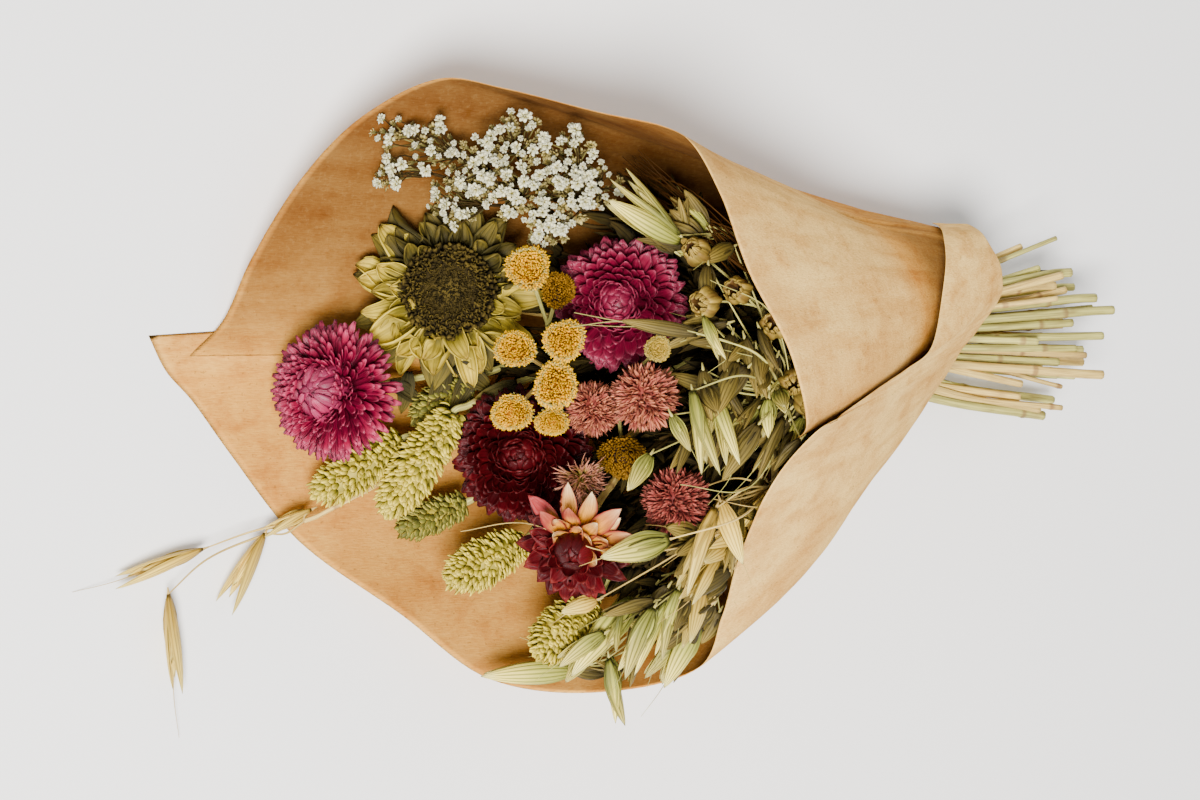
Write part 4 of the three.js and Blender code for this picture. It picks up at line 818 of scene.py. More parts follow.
def add_sunflower():
    rng = np.random.default_rng(5)
    seat = seat_of(SUNFLOWER_CENTRE, SUNFLOWER_FACING, HEAD_HEIGHT)
    grow = Growth().stand(seat, SUNFLOWER_FACING)
    add_lathe(grow, [(3, 0), (8, 1.2), (13.5, 3), (14.5, 5), (12, 6.4), (1, 6.4)], 36)
    for row, (count, reach, rise, width, bend) in enumerate(RAY_ROWS):
        turn = 2 * np.pi * (np.arange(count) + 0.5 * (row % 2) + rng.normal(0, 0.14, count)) / count
        outward = outward_at(turn)
        root = 12.5 * outward + (2.6 + 1.1 * row) * UP
        tip = reach * rng.uniform(0.86, 1.02, (count, 1)) * outward
        tip[:, 2] = rise * rng.uniform(0.5, 1.25, count)
        tip[:, :2] += rng.normal(0, 2.0, (count, 2))
        run = tip - root
        # Petals on that side take the dim olive look: partly their own greener colour, partly painted shade
        # under the baby's breath.
        green = np.cos(turn - GREEN_SHADED_SIDE) + rng.normal(0, 0.3, count) > 0.2
        for look, chosen in enumerate((~green, green)):
            number, way = chosen.sum(), run[chosen]
            add_leaves(grow, root[chosen], way, UP, np.linalg.norm(way, axis=1) * 1.06,
                       width * rng.uniform(0.75, 1.2, number), RAY_FORM,
                       bend=bend + rng.normal(0, 0.55, number), cup=rng.uniform(0.9, 2.2, number),
                       ruffle=rng.uniform(0.1, 0.5, number), twist=rng.normal(0, 0.6, number), thick=0.45,
                       shade=rng.uniform(0, 1, number), rows=10, cols=9, material=look)
    count = SEPALS
    outward = uneven_ring(count, 0.15, rng)
    add_leaves(grow, 12 * outward + 1.5 * UP, outward - 0.12 * UP, UP,
               rng.uniform(19, 24, count), rng.uniform(11, 14, count), outline(0.7, 0.35, 0.9),
               bend=rng.normal(-0.2, 0.4, count), cup=0.5, ruffle=0.15, thick=0.5,
               shade=rng.uniform(0, 1, count), rows=10, cols=9, material=1)
    grow.piece("sunflower_ray_petals", "sunflower_petal", ["sunflower_petals"], RAY, SEPAL)
    add_disc(seat_of(SUNFLOWER_CENTRE, SUNFLOWER_FACING, HEAD_HEIGHT - DISC_HEIGHT), rng)
    add_plain_stem("sunflower_stem", seat, SUNFLOWER_FACING, 3, 2.0)


def add_disc(seat, rng):
    grow = Growth().stand(seat, SUNFLOWER_FACING)
    heights = [(14, 0), (14.9, 1.6), (14, 3.4), (11, 3.8), (7, 2.4), (3, 2.2), (0.6, 2.2)]
    add_lathe(grow, heights, 36)
    count = DISC_FLORETS
    share = np.sqrt(shares(count))
    outward = golden_ring(count)
    out = DISC_RADIUS * share
    up = np.interp(share, [0, 0.2, 0.5, 0.75, 0.97, 1], [1.4, 1.5, 1.9, 3.0, 2.6, 1.6])
    root = out[:, None] * outward + up[:, None] * UP
    lean = np.interp(share, [0, 0.6, 0.9, 1], [-0.25, -0.1, 0.25, 0.9])[:, None]
    axis = outward * lean + UP + rng.normal(0, 0.22, (count, 3))
    size = np.interp(share, [0, 0.55, 0.75, 1], [1.5, 1.8, 3.2, 3.6]) * rng.uniform(0.8, 1.25, count)
    add_leaves(grow, root, axis, outward + rng.normal(0, 0.5, (count, 3)), size, 0.42 * size + 0.35,
               outline(0.7, 0.75, 0.5, 0.35), bend=rng.normal(0.5, 0.6, count), cup=2.3, thick=0.18,
               shade=rng.uniform(0, 1, count), depth=1 - share, rows=5, cols=5)
    grow.piece("sunflower_florets", "sunflower_disc", ["sunflower_disc"], DISC_FLORET)


# name: (centre, facing, radius, slot, look)
AMARANTHS = {
    "upper": ((-3, 1, 86), UP_LEFT, 11.5, "salmon_amaranth", SALMON),
    "rear": ((-14, -3, 67), UP_LEFT, 9.5, "dusky_amaranth", SALMON),
    "lower": ((8, -34, 87), UP_LEFT, 11.5, "dusky_amaranth", DUSKY),
    "half_open": ((-20, -27, 73), UP_LEFT, 8, "pale_amaranth", HALF_OPEN),
}


def sphere_directions(count):
    z = 1 - 2 * shares(count)
    ring = np.sqrt(1 - z**2)[:, None]
    return ring * golden_ring(count) + z[:, None] * UP


def noise_directions(points, scale):
    """A smooth field of directions, so that neighbours lean alike."""
    return np.array([noise.noise_vector(Vector(p) * scale) for p in points]) + 1e-3


def add_amaranth(name, centre, facing, radius, slot, look):
    rng = np.random.default_rng(len(name) + 90)
    grow = Growth().stand(seat_of(centre, facing, radius), facing)
    middle = radius * UP
    half_open = name == "half_open"
    girth = 0.35 if half_open else 0.62
    core = [(1.6, 0), (0.8 * girth * radius, 0.55 * radius), (girth * radius, radius),
            (0.8 * girth * radius, 1.4 * radius), (0.2 * radius, (1 + girth) * radius)]
    # The core that shows between the spikes takes a colour near their dark root: painted shade in the gaps.
    add_lathe(grow, core, 16, along=0.2)
    way = sphere_directions(520 if half_open else 1200)
    way = way[way[:, 2] > (0.1 if half_open else -0.86)]
    count = len(way)
    if half_open:
        way = unit(way + 0.7 * UP)
    start, reach = (0.25, 1.25) if half_open else (0.52, 0.52)
    root = middle + way * radius * start + rng.normal(0, 0.06 * radius, way.shape)
    swirl = unit(np.cross(way, noise_directions(way, 1.6)))
    way = unit(way + 0.35 * swirl + rng.normal(0, 0.2, way.shape))
    add_leaves(grow, root, way, swirl + rng.normal(0, 0.4, way.shape),
               radius * reach * rng.uniform(0.75, 1.1, count), radius * rng.uniform(0.09, 0.13, count),
               outline(0.5, 0.5, 0.8), bend=rng.normal(0.5, 0.5, count), cup=1.2, thick=0.12,
               shade=rng.uniform(0, 1, count), rows=6, cols=3)
    node = "amaranth_" + name
    grow.piece(node + "_globe", slot, [node + "_head"], look)
    add_plain_stem(node + "_stem", seat_of(centre, facing, radius), facing, 60 + len(name))


# spray: (fork, {number: (centre, radius, colour)})
BUTTONS = {
    "upper": ((-18, 26, 36), {
        "1": ((-38, 44, 68), 7.2, "golden"), "2": ((-30, 20, 80), 7.2, "golden"),
        "9": ((-24, 37, 60), 6, "brown")}),
    "middle": ((-20, 10, 44), {
        "3": ((-41, 17, 64), 6.6, "golden"), "4": ((-31, 5, 75), 7.4, "golden"),
        "5": ((-44, -4, 69), 6.6, "golden"), "6": ((-29, -7, 67), 5.2, "golden")}),
    "lower": ((2, 2, 50), {"7": ((1, 17, 87), 4.6, "pale"), "8": ((-3, -19, 67), 7.6, "brown")}),
}
BUTTON_LOOKS = {"golden": GOLDEN, "brown": BROWN_GOLD, "pale": PALE_GOLDEN}
BUTTON_FLORETS, RIM_FLORETS = 320, 640


def add_button(number, centre, radius, colour, axis):
    """Packed florets on a low dome, inside a woolly rim."""
    rng = np.random.default_rng(200 + int(number))
    grow = Growth().stand(seat_of(centre, axis, 0.5 * radius), axis)
    grow.basis = grow.basis @ np.diag([rng.uniform(0.86, 1.04), rng.uniform(0.86, 1.04), 1])
    lobe, crease = rng.uniform(0, 6, 2), 0.2 if number == "5" else 0

    def lumpy(outward):
        turn = np.arctan2(outward[:, 1], outward[:, 0])
        lumps = 0.97 + 0.06 * np.cos(2 * turn + lobe[0]) + 0.05 * np.cos(3 * turn + lobe[1])
        return outward * lumps[:, None]

    body = [(0.15, 0), (0.75, 0.2), (0.92, 0.5), (0.84, 0.7), (0.5, 0.8), (0.1, 0.84)]
    # The body under the florets takes their darkest root colour, so the gaps between them show dark: painted
    # shade.
    add_lathe(grow, [(out * radius, up * radius) for out, up in body], 24, shade=0.2, along=0.0)
    count = BUTTON_FLORETS
    share = np.sqrt(shares(count))
    outward = lumpy(golden_ring(count))
    tilt = 1.15 * share[:, None] ** 2
    way = np.sin(tilt) * outward + np.cos(tilt) * UP
    dimple = rng.uniform(-0.02, 0.24) * np.exp(-((share / 0.35) ** 2))
    dimple += crease * np.exp(-((share * outward[:, 0] / 0.14) ** 2)) * (1 - share**3)
    height = 0.9 - 0.26 * share**3 - dimple
    root = radius * (0.88 * share[:, None] * outward + height[:, None] * UP)
    add_leaves(grow, root, way + rng.normal(0, 0.16, way.shape), outward,
               radius * rng.uniform(0.27, 0.36, count), radius * 0.105, outline(0.85, 0.8, 0.4, 0.55),
               bend=rng.normal(0, 0.3, count), cup=2.4, thick=0.12,
               shade=rng.uniform(0, 0.3 if number == "8" else 1, count), rows=4, cols=5)
    count = RIM_FLORETS
    outward = lumpy(golden_ring(count))
    level = rng.uniform(0.4, 1.04, count)[:, None]
    lean = 1.3 - level
    root = radius * ((0.8 + 0.12 * np.sin(np.pi * level)) * outward + 0.86 * level * UP)
    add_leaves(grow, root, outward * lean + UP * 0.8 + rng.normal(0, 0.2, (count, 3)), -outward,
               radius * rng.uniform(0.14, 0.26, count), radius * 0.09, outline(0.9, 0.5, 0.5, 0.3), cup=0.7,
               bend=rng.normal(0.4, 0.3, count), thick=0.12, shade=rng.uniform(0, 1, count), rows=4, cols=3,
               material=int(colour != "brown"))
    node = "button_" + number
    grow.piece(node + "_florets", colour + "_button", [node + "_head"], BUTTON_LOOKS[colour], WOOL)


def add_button_spray(name, fork, heads):
    rng = np.random.default_rng(300 + len(name))
    grow = Growth()
    fork = np.array(fork, float)
    node = "buttons_" + name + "_stem"
    add_stem(grow, node, seat_lead(fork, (-0.75, 0, 0.66)), 310 + len(name))
    for number, (centre, radius, colour) in heads.items():
        rising = unit(np.array(centre, float) - fork)
        axis = unit(rising + VIEW)
        seat = seat_of(centre, axis, 0.5 * radius)
        add_button(number, centre, radius, colour, axis)
        route = [fork - 3 * rising, (fork + seat) / 2 - 1.5 * axis, seat - 0.3 * axis]
        add_stalk(grow, route, np.full(20, 0.7), rng, ribs=5)
    slot = STEM_SLOTS[node]
    grow.piece(node + "_straw", slot, [node], STEM_LOOKS[slot])


# name: (base, tip, radius)
CANARY_GRASS = {
    "left": ((-68, -14, 23), (-97, -34, 13), 7), "centre": ((-54, -5, 37), (-75, -41, 24), 7.4),
    "lower": ((-29, -49, 39), (-56, -63, 36), 7.4), "front": ((-7, -71, 50), (-30, -87, 55), 8.4),
    "behind": ((-44, 7, 26), (-62, -8, 20), 6), "under": ((-44, -36, 22), (-66, -46, 14), 4.6),
}
# how far along the head, and how wide the head is there
GRASS_SWELL = ([0, 0.12, 0.3, 0.6, 0.82, 0.94, 1], [0.35, 0.66, 0.88, 1.06, 0.96, 0.66, 0.2])


def add_canary_grass(name, base, tip, radius):
    """An egg-shaped head of keeled scales on its stem."""
    rng = np.random.default_rng(400 + len(name))
    base, tip = np.array(base, float), np.array(tip, float)
    length = np.linalg.norm(tip - base)
    axis = (tip - base) / length
    grow = Growth().stand(base, axis)
    count = int((13 if radius > 7 else 10) * length)
    share = shares(count)
    swell = np.interp(share, *GRASS_SWELL)
    # Heads behind and under the others take the inner colour of their scales: painted shade.
    painted_shade = 0.8 if name in ("behind", "under") else 0
    outward = outward_at(np.arange(count) * GOLDEN_TURN + rng.normal(0, 0.13, count))
    level = 0.92 * length * share - 1 + rng.normal(0, 0.5, count)
    root = (0.8 * radius * swell)[:, None] * outward + level[:, None] * UP
    rise = np.interp(share, [0, 0.5, 0.85, 1], [0.4, 0.7, 1.4, 4])[:, None]
    way = outward + rise * UP + rng.normal(0, 0.2, (count, 3))
    core = np.linspace(0, 1, 9)
    core_swell = np.interp(core, *GRASS_SWELL)
    add_lathe(grow, np.stack([0.84 * radius * core_swell, 0.92 * length * core - 1], 1), 16, shade=0.1)
    add_leaves(grow, root, way, 0.4 * UP - outward,
               rng.uniform(3.2, 4.6, count), rng.uniform(2.2, 3.0, count),
               outline(0.6, 0.5, 0.6), bend=rng.normal(0.8, 0.3, count), cup=1.2, thick=0.2,
               shade=rng.uniform(0, 1, count), depth=painted_shade, rows=6, cols=5)
    grow.stand((0, 0, 0))
    node = "canary_grass_" + name
    add_stem(grow, node, np.array([base + 3 * axis, base - 2 * axis]), 410 + len(name), material=1)
    grow.piece(node + "_scales", "canary_grass", [node], SCALE, GREEN_STRAW)


BREATH_FORK = (12, 62, 42)
BREATH_LIMBS = [(-30, 76, 38), (-20, 64, 44), (-4, 68, 50)]
# clusters: (centre, spread, number of florets, limb)
BREATH_CLUSTERS = [
    ((-79, 91, 42), 5, 10, 0), ((-77, 78, 38), 5, 13, 0), ((-66, 87, 46), 8, 29, 0),
    ((-57, 68, 47), 8, 32, 1), ((-52, 80, 52), 8, 35, 0), ((-40, 88, 61), 9, 40, 0),
    ((-24, 83, 67), 9, 37, 2), ((-42, 72, 60), 9, 43, 1), ((-24, 69, 67), 9, 43, 2),
    ((-31, 60, 67), 7, 35, 1), ((-13, 73, 69), 7, 29, 2),
]
# Thin brown stalks under the flap: their number, their common start, and the lines on which
# they bend and end.
BROWN_TWIGS = 24
TWIG_START = np.array([75, 30, 45])
TWIG_BENDS = np.array([[29, 60, 84], [28, 44, 92]])
TWIG_ENDS = np.array([[-6, 73, 66], [2, 84, 70]])
FLORET_RADIUS = 2.5
# rings of petals in a floret: (number, outwards, upwards, width)
FULL_RINGS = [(7, 1.0, 0.25, 0.56), (6, 0.8, 0.7, 0.5), (5, 0.45, 1.0, 0.42)]
FADED_IN_SHADE_RINGS = [(6, 1.0, 0.35, 0.58), (5, 0.6, 0.9, 0.5)]


def add_floret(grow, place, facing, rng, faded_in_shade=False):
    """One double floret in its green cup."""
    grow.stand(place, facing)
    size = FLORET_RADIUS * rng.choice([rng.uniform(0.4, 0.65), rng.uniform(0.75, 1.1)])
    for count, out, lift, width in FADED_IN_SHADE_RINGS if faded_in_shade else FULL_RINGS:
        turn = 2 * np.pi * (np.arange(count) + rng.uniform()) / count
        outward = outward_at(turn + rng.normal(0, 0.15, count))
        root = 0.12 * size * outward
        add_leaves(grow, root, outward * out + lift * UP, UP, size * rng.uniform(0.75, 1.05, count),
                   size * width, outline(0.3, 0.72, 0.5, 0.4), bend=rng.normal(-0.2, 0.6, count), cup=0.6,
                   ruffle=0.4, twist=rng.normal(0, 0.4, count), thick=0.16, shade=rng.uniform(0, 1, count),
                   rows=4 if faded_in_shade else 5, cols=4, material=4 if faded_in_shade else 0)
    add_lathe(grow, [(0.2, -1.5), (0.75, -0.9), (0.85, 0.1), (0.3, 0.3)], 8, material=1)
    grow.stand((0, 0, 0))


def add_twig(grow, start, end, radius, rng, material=1, bow=0.06):
    """A thin bowed stalk."""
    start, end = np.array(start, float), np.array(end, float)
    run = np.linalg.norm(end - start)
    middle = (start + end) / 2 + rng.normal(0, bow * run, 3)
    radii = np.linspace(1.15, 0.85, max(4, int(run / 2))) * radius
    add_stalk(grow, [start, middle, end], radii, rng, sides=6, material=material)


def add_babys_breath():
    rng = np.random.default_rng(500)
    florets, twigs = Growth(), Growth()
    fork, limbs = np.array(BREATH_FORK, float), np.array(BREATH_LIMBS, float)
    add_stem(twigs, "babys_breath", seat_lead(fork, (-0.9, 0.2, 0.3)), 501, material=2)
    for limb in limbs:
        add_twig(twigs, fork, limb, 0.85, rng, 2)
    for centre, spread, count, limb in BREATH_CLUSTERS:
        centre = np.array(centre, float)
        hub = centre + (limbs[limb] - centre) * 0.34
        add_twig(twigs, limbs[limb] + (fork - limbs[limb]) * 0.06, hub, 0.6, rng, 2)
        for k in range(count):
            turn = GOLDEN_TURN * k + rng.uniform(0, 0.6)
            out = spread * math.sqrt((k + 0.5) / count) * 1.15
            place = centre + np.array([0.9 * out * math.cos(turn), out * math.sin(turn),
                                       0.5 * spread * rng.uniform(-0.5, 0.7) + 0.35 * out * math.cos(turn)])
            # Every second floret sits deeper in the beige look: partly older florets, partly painted shade.
            faded_in_shade = k % 2 == 1
            place -= rng.uniform(3, 9) * VIEW * faded_in_shade
            facing = unit(place - hub + np.array([-3, -1, 8]) + rng.normal(0, 3, 3))
            add_twig(twigs, hub, place - 1.2 * facing, 0.24, rng, 1 if k % 2 else 2, 0.1)
            add_floret(twigs if faded_in_shade else florets, place, facing, rng, faded_in_shade)
    for _ in range(BROWN_TWIGS):
        share = rng.uniform(0, 1, 2)
        root, end = partway(*TWIG_BENDS, share[0]), partway(*TWIG_ENDS, share[1])
        points = [held_inside(point + rng.normal(0, 2, 3), 2.5) for point in (root, (root + end) / 2, end)]
        start = TWIG_START + rng.normal(0, 2, 3)
        route = [start, held_inside((start + points[0]) / 2, 4), *points]
        add_stalk(twigs, route, np.linspace(0.34, 0.14, 40), rng, sides=6, material=3)
    node, looks = "babys_breath", (FLORET, CALYX, TWIG, BROWN_TWIG, OLD_FLORET_IN_SHADE)
    florets.piece(node + "_florets", node, [node], FLORET, CALYX)
    twigs.piece(node + "_twigs", node, [node], *looks)


# spray: (fork, facing, slot, spikelets of base, tip, width and bend)
OATS = {
    "top": ((34, 57, 78), (-0.7, 0.1, 0.7), "oat_green", [
        ((7, 55, 92), (-13, 76, 85), 5.4, None), ((8, 53, 91), (-18, 66, 87), 6, None)]),
    "right": ((50, 2, 84), (-0.6, 0, 0.8), "oat_green", [
        ((6, 3, 104), (9, -25, 112), 6.4, (20, 8, 110)), ((16, 4, 100), (19, -22, 108), 6, None),
        ((30, -8, 105), (18, -27, 102), 5.4, None), ((14, -8, 92), (2, -24, 97), 5.4, None),
        ((27, 11, 103), (14, -6, 95), 5.4, None), ((30, 17, 103), (31, 0, 105), 5.4, None),
        ((9, 22, 102), (-15, 26, 93), 4, (26, 16, 109)), ((43, -6, 98), (32, -26, 97), 5.4, None)]),
    "lower_right": ((50, -30, 74), (-0.6, -0.3, 0.7), "oat", [
        ((17, -36, 99), (4, -64, 99), 5.8, (30, -30, 94)), ((21, -34, 94), (27, -55, 98), 5.6, None),
        ((36, -44, 84), (12, -50, 90), 5.4, None), ((29, -54, 77), (10, -68, 89), 5.4, None),
        ((29, -61, 66), (15, -84, 79), 5.4, None), ((42, -32, 86), (32, -47, 81), 5.4, None),
        ((-1, -46, 101), (-24, -52, 97), 7.4, (20, -40, 106))]),
    "bottom": ((36, -58, 56), (-0.7, -0.5, 0.4), "oat_green", [
        ((2, -70, 82), (-8, -93, 77), 6.4, None), ((13, -66, 76), (7, -88, 74), 6, None),
        ((2, -68, 66), (-21, -93, 62), 7, None), ((-12, -94, 45), (-43, -95, 36), 5.4, (12, -84, 50)),
        ((-6, -88, 62), (0, -112, 58), 6, None), ((24, -78, 70), (12, -98, 66), 5.4, None),
        ((26, -76, 60), (16, -98, 56), 5.4, None)]),
    "left": ((-98, -42, 8), (-0.93, -0.3, 0.02), "oat", [
        ((-96, -38, 10), (-113, -46, 8), 5, None), ((-112, -46, 8), (-126, -72, 5), 5.4, None),
        ((-134, -51, 8), (-164, -62, 5), 5.4, (-116, -45, 9)),
        ((-146, -66, 8), (-142, -100, 5), 5.4, (-132, -54, 9))]),
}
HUSK_FORM = outline(0.4, 0.36, 0.85, 0.025)
FLAT_WIDTH, GAPING_WIDTH, SHUT_WIDTH = 1.7, 1.55, 1.3  # of a husk, as shares of the table's width
# radii along an oat's stalks, from the fork on
SPRAY_STALK = np.linspace(0.5, 0.24, 24)
SIDE_STALK = np.linspace(0.45, 0.24, 16)
TENDRIL = np.linspace(0.32, 0.14, 40)
AWN = np.linspace(0.2, 0.07, 12)


def add_spikelet(grow, base, tip, width, rng, material=0, split=False, cup=1.15):
    """Two boat-shaped husks that open towards the tip, with the narrower grain husks between."""
    base, tip = np.array(base, float), np.array(tip, float)
    length = np.linalg.norm(tip - base)
    axis = (tip - base) / length
    side = unit(np.cross((-0.4, 0, 0.9), axis))
    top = np.cross(axis, side)
    roll = rng.normal(0.2, 0.1) if split else rng.normal(0.4 if rng.uniform() < 0.3 else 1.3, 0.35)
    side, top = np.cos(roll) * side + np.sin(roll) * top, np.cos(roll) * top - np.sin(roll) * side
    hands = np.array([-1, 1])[:, None]
    splay = rng.uniform(0.03, 0.12)
    add_leaves(grow, base + 0.06 * width * hands * side, axis + splay * hands * side, -hands * side,
               length * np.array([0.97, 1.02]), width, HUSK_FORM, bend=0.3, cup=cup, thick=0.3,
               shade=rng.uniform(0, 1, 2), rows=14, cols=11, material=material)
    inner = np.array([base, base]) + 1.5 * axis
    add_leaves(grow, inner, axis + 0.05 * hands * top + rng.normal(0, 0.03, (2, 3)), -hands * top,
               length * np.array([0.8, 0.66]), width * 0.5, HUSK_FORM, bend=0.15, cup=1.5, thick=0.25,
               shade=rng.uniform(0, 1, 2), rows=9, cols=7, material=material)
    if rng.uniform() < 0.5:
        start = base + 0.6 * length * axis
        end = (start + axis * length * rng.uniform(0.7, 1.0)
               + side * rng.normal(0, 3) - top * rng.uniform(0, 3))
        points = [start, (start + end) / 2 + rng.normal(0, 0.6, 3), end]
        path = curve_through(points, np.linspace(0, 1, len(AWN)))
        path[:, 2] = np.maximum(path[:, 2], 0.4)
        add_tube(grow, path, AWN, sides=6, shade=rng.uniform(), material=1)
    grow.stand(base - 0.9 * axis, axis)
    add_lathe(grow, [(0.25, -1.4), (0.4, 0), (0.6, 1.2), (0.4, 2.6)], 10, material=1)
    grow.stand((0, 0, 0))


# Bare thin stalks that cross in front of the blooms, from the fork on.
TENDRILS = {
    "right": [
        [(36, 12, 104), (13, 18, 100)], [(44, -14, 92), (29, -30, 97), (3, -28, 101)],
        [(46, 6, 96), (34, 30, 104), (14, 40, 100)],
        [(26, 16, 108), (9, 22, 103), (-15, 26, 93), (-31, 24, 87)],
        [(26, 16, 108), (9, 22, 102), (-15, 26, 93), (-28, 29, 84)]],
    "lower_right": [
        [(34, -36, 96), (16, -33, 99)], [(12, -48, 92), (-20, -50, 92), (-42, -41, 74), (-60, -44, 62)]],
}
SHORTEST, LONGEST, LOWEST_Y = 12, 19, -98  # lengths of hidden spikelets, and where they stop
HIDDEN_SPIKELETS = {"top": 12, "right": 46, "lower_right": 44, "bottom": 40, "left": 0}
GAPING_HUSKS = [(6, 3, 104), (-6, -88, 62), (17, -36, 99)]  # bases of the husks that show their slit
# Further husks in sight, of base, tip, width and look: 0 as the spray, 2 in the shade.
FURTHER_HUSKS = {
    "right": [((15, 45, 97), (12, 30, 101), 6.5, 2), ((23, 22, 99), (18, 9, 101), 6, 2),
              ((27, 21, 100), (31, 2, 103), 5.5, 2), ((24, 13, 101), (14, -6, 104), 7, 2),
              ((32, 24, 101), (36, 9, 106), 6.5, 2), ((10, 28, 104), (16, 13, 106), 7.5, 0),
              ((-6, -18, 97), (-15, -30, 99), 6.5, 0), ((43, -13, 110), (35, -23, 104), 7, 2),
              ((28, 52, 90), (13, 46, 94), 6, 2), ((2, -5, 96), (8, -17, 98), 5, 0)],
    "bottom": [((9, -68, 78), (-1, -92, 66), 8, 0), ((12, -64, 80), (8, -83, 72), 7.5, 0),
               ((-7, -72, 75), (-8, -85, 68), 6, 0), ((-11, -79, 70), (-26, -89, 64), 7, 0),
               ((4, -68, 78), (-15, -72, 76), 5.5, 2), ((-15, -86, 64), (-21, -96, 60), 5.5, 0),
               ((22, -78, 71), (10, -86, 67), 5.5, 2), ((19, -82, 68), (7, -95, 62), 6, 0),
               ((23, -76, 73), (18, -96, 61), 5, 2), ((5, -86, 65), (1, -98, 60), 5.5, 2)],
    "lower_right": [((26, -70, 76), (13, -80, 72), 5, 2), ((30, -58, 83), (13, -68, 80), 6, 2),
                    ((-17, -67, 78), (-30, -71, 77), 6, 0)],
}


def add_oat_spray(name, fork, facing, slot, spikelets):
    rng = np.random.default_rng(600 + len(name))
    grow = Growth()
    fork = np.array(fork, float)
    node = "oats_" + name
    slim_end = 0.5 if name == "left" else 0.8
    add_stem(grow, node, seat_lead(fork, facing), 610 + len(name), slim_end=slim_end, material=1)
    for base, tip, width, bend in spikelets:
        end = np.array(base, float)
        points = [fork] + ([np.array(bend, float)] if bend else []) + [end]
        if not bend:
            points.insert(1, (fork + end) / 2 + (0, 0, 2) + rng.normal(0, 1, 3))
        add_stalk(grow, points, SPRAY_STALK, rng, sides=8, material=1)
        if name == "left":
            add_spikelet(grow, base, tip, width * FLAT_WIDTH, rng, split=True, cup=0.8)
        else:
            gaping = base in GAPING_HUSKS
            wide = GAPING_WIDTH if gaping or name == "bottom" else SHUT_WIDTH
            # Look 2 is the husk drawn in painted shade.
            look = 3 if width > 7 else 2 if name == "right" and width < 5.5 else 0
            cup = 1.5 if gaping else 1.15
            add_spikelet(grow, base, tip, width * wide, rng, look, split=gaping, cup=cup)
    for base, tip, width, look in FURTHER_HUSKS.get(name, ()):
        route = [fork, (fork + base) / 2 + rng.normal(0, 1, 3), base]
        add_stalk(grow, route, SIDE_STALK, rng, sides=6, material=1)
        add_spikelet(grow, base, tip, width, rng, look)
    for k in range(HIDDEN_SPIKELETS[name]):
        one, other = rng.choice(len(spikelets), 2, replace=False)
        mix = rng.uniform()
        base, tip = (partway(np.array(there), np.array(here), mix)
                     for here, there in zip(spikelets[one][:2], spikelets[other][:2]))
        deeper = np.array([rng.uniform(3, 16), rng.normal(0, 3), -rng.uniform(2, 13)])
        base = held_inside(base + deeper + rng.normal(0, 2, 3), 6)
        tip = held_inside(tip + deeper + rng.normal(0, 7, 3), 6)
        reach = np.linalg.norm(tip - base)
        if reach < SHORTEST or tip[1] < LOWEST_Y:
            continue
        tip = base + (tip - base) * min(1, rng.uniform(SHORTEST, LONGEST) / reach)
        route = [fork, (fork + base) / 2 + rng.normal(0, 2, 3), base]
        add_stalk(grow, route, SIDE_STALK, rng, sides=6, material=1)
        add_spikelet(grow, base, tip, rng.uniform(5, 7), rng, material=0 if k % 5 == 0 else 2)
    for points in TENDRILS.get(name, ()):
        add_stalk(grow, [fork, *points], TENDRIL, rng, sides=6, material=1)
    look = GREEN_HUSK if slot == "oat_green" else HUSK
    looks = (look, GREEN_STRAW if slot == "oat_green" else STRAW, HUSK_IN_SHADE, GREEN_HUSK)
    grow.piece(node + "_husks", slot, [node], *looks)


# spray: (fork, facing, pods of base, tip and radius)
PODS = {
    "upper": ((42, 32, 82), (-0.5, 0.2, 0.8), [
        ((17, 48, 90), (9, 51, 96), 4.6), ((17, 33, 97), (8, 32, 105), 4.8),
        ((30, 36, 94), (22, 37, 101), 4.6)]),
    "front": ((54, 14, 78), (-0.4, 0, 0.9), [
        ((48, 7, 93), (44, 5, 103), 4.6), ((52, 2, 92), (51, -3, 101), 4),
        ((42, 24, 94), (36, 26, 104), 5)]),
}
RIM_TEETH = 11


def add_pod(grow, base, tip, radius, rng):
    """A lobed cup whose torn rim stands round a dark mouth."""
    base, tip = np.array(base, float), np.array(tip, float)
    length = np.linalg.norm(tip - base)
    grow.stand(base, tip - base)
    out = [0.14, 0.55, 0.86, 1, 0.98, 0.86, 0.68, 0.56, 0.46, 0.34, 0.12]
    up = [0, 0.08, 0.26, 0.48, 0.68, 0.84, 0.95, 0.92, 0.76, 0.56, 0.5]
    inside = np.array([0, 0, 0, 0, 0, 0, 0.1, 0.9, 1, 1, 1])[:, None]
    turn = np.linspace(0, 2 * np.pi, 36, endpoint=False)
    lobes = 1 + 0.1 * np.cos(5 * turn + rng.uniform(0, 6)) + 0.07 * np.cos(9 * turn + rng.uniform(0, 6))
    relief = np.repeat(lobes[None], len(out), 0)
    add_lathe(grow, np.array([np.array(out) * radius, np.array(up) * length]).T, 36, relief, inside,
              shade=rng.uniform())
    count = RIM_TEETH
    outward = uneven_ring(count, 0.14, rng)
    root = 0.76 * radius * outward + 0.84 * length * UP
    lean = rng.normal(-0.7, 0.5, (count, 1))
    add_leaves(grow, root, lean * outward + UP, -outward, length * rng.uniform(0.2, 0.45, count),
               radius * rng.uniform(0.5, 0.75, count), outline(0.9, 0.25, 0.9),
               bend=rng.normal(0.5, 0.5, count), cup=0.7, thick=0.25,
               shade=rng.uniform(0, 1, count), rows=7, cols=5)
    grow.stand((0, 0, 0))


def add_pod_spray(name, fork, facing, pods):
    rng = np.random.default_rng(700 + len(name))
    grow = Growth()
    node = "pods_" + name
    add_stem(grow, node, seat_lead(fork, facing), 710 + len(name), material=1)
    for base, tip, radius in pods:
        add_twig(grow, fork, base, 0.5, rng, 1, 0.05)
        add_pod(grow, base, tip, radius, rng)
    grow.piece(node + "_cups", "pod", [node], POD, GREEN_STRAW)


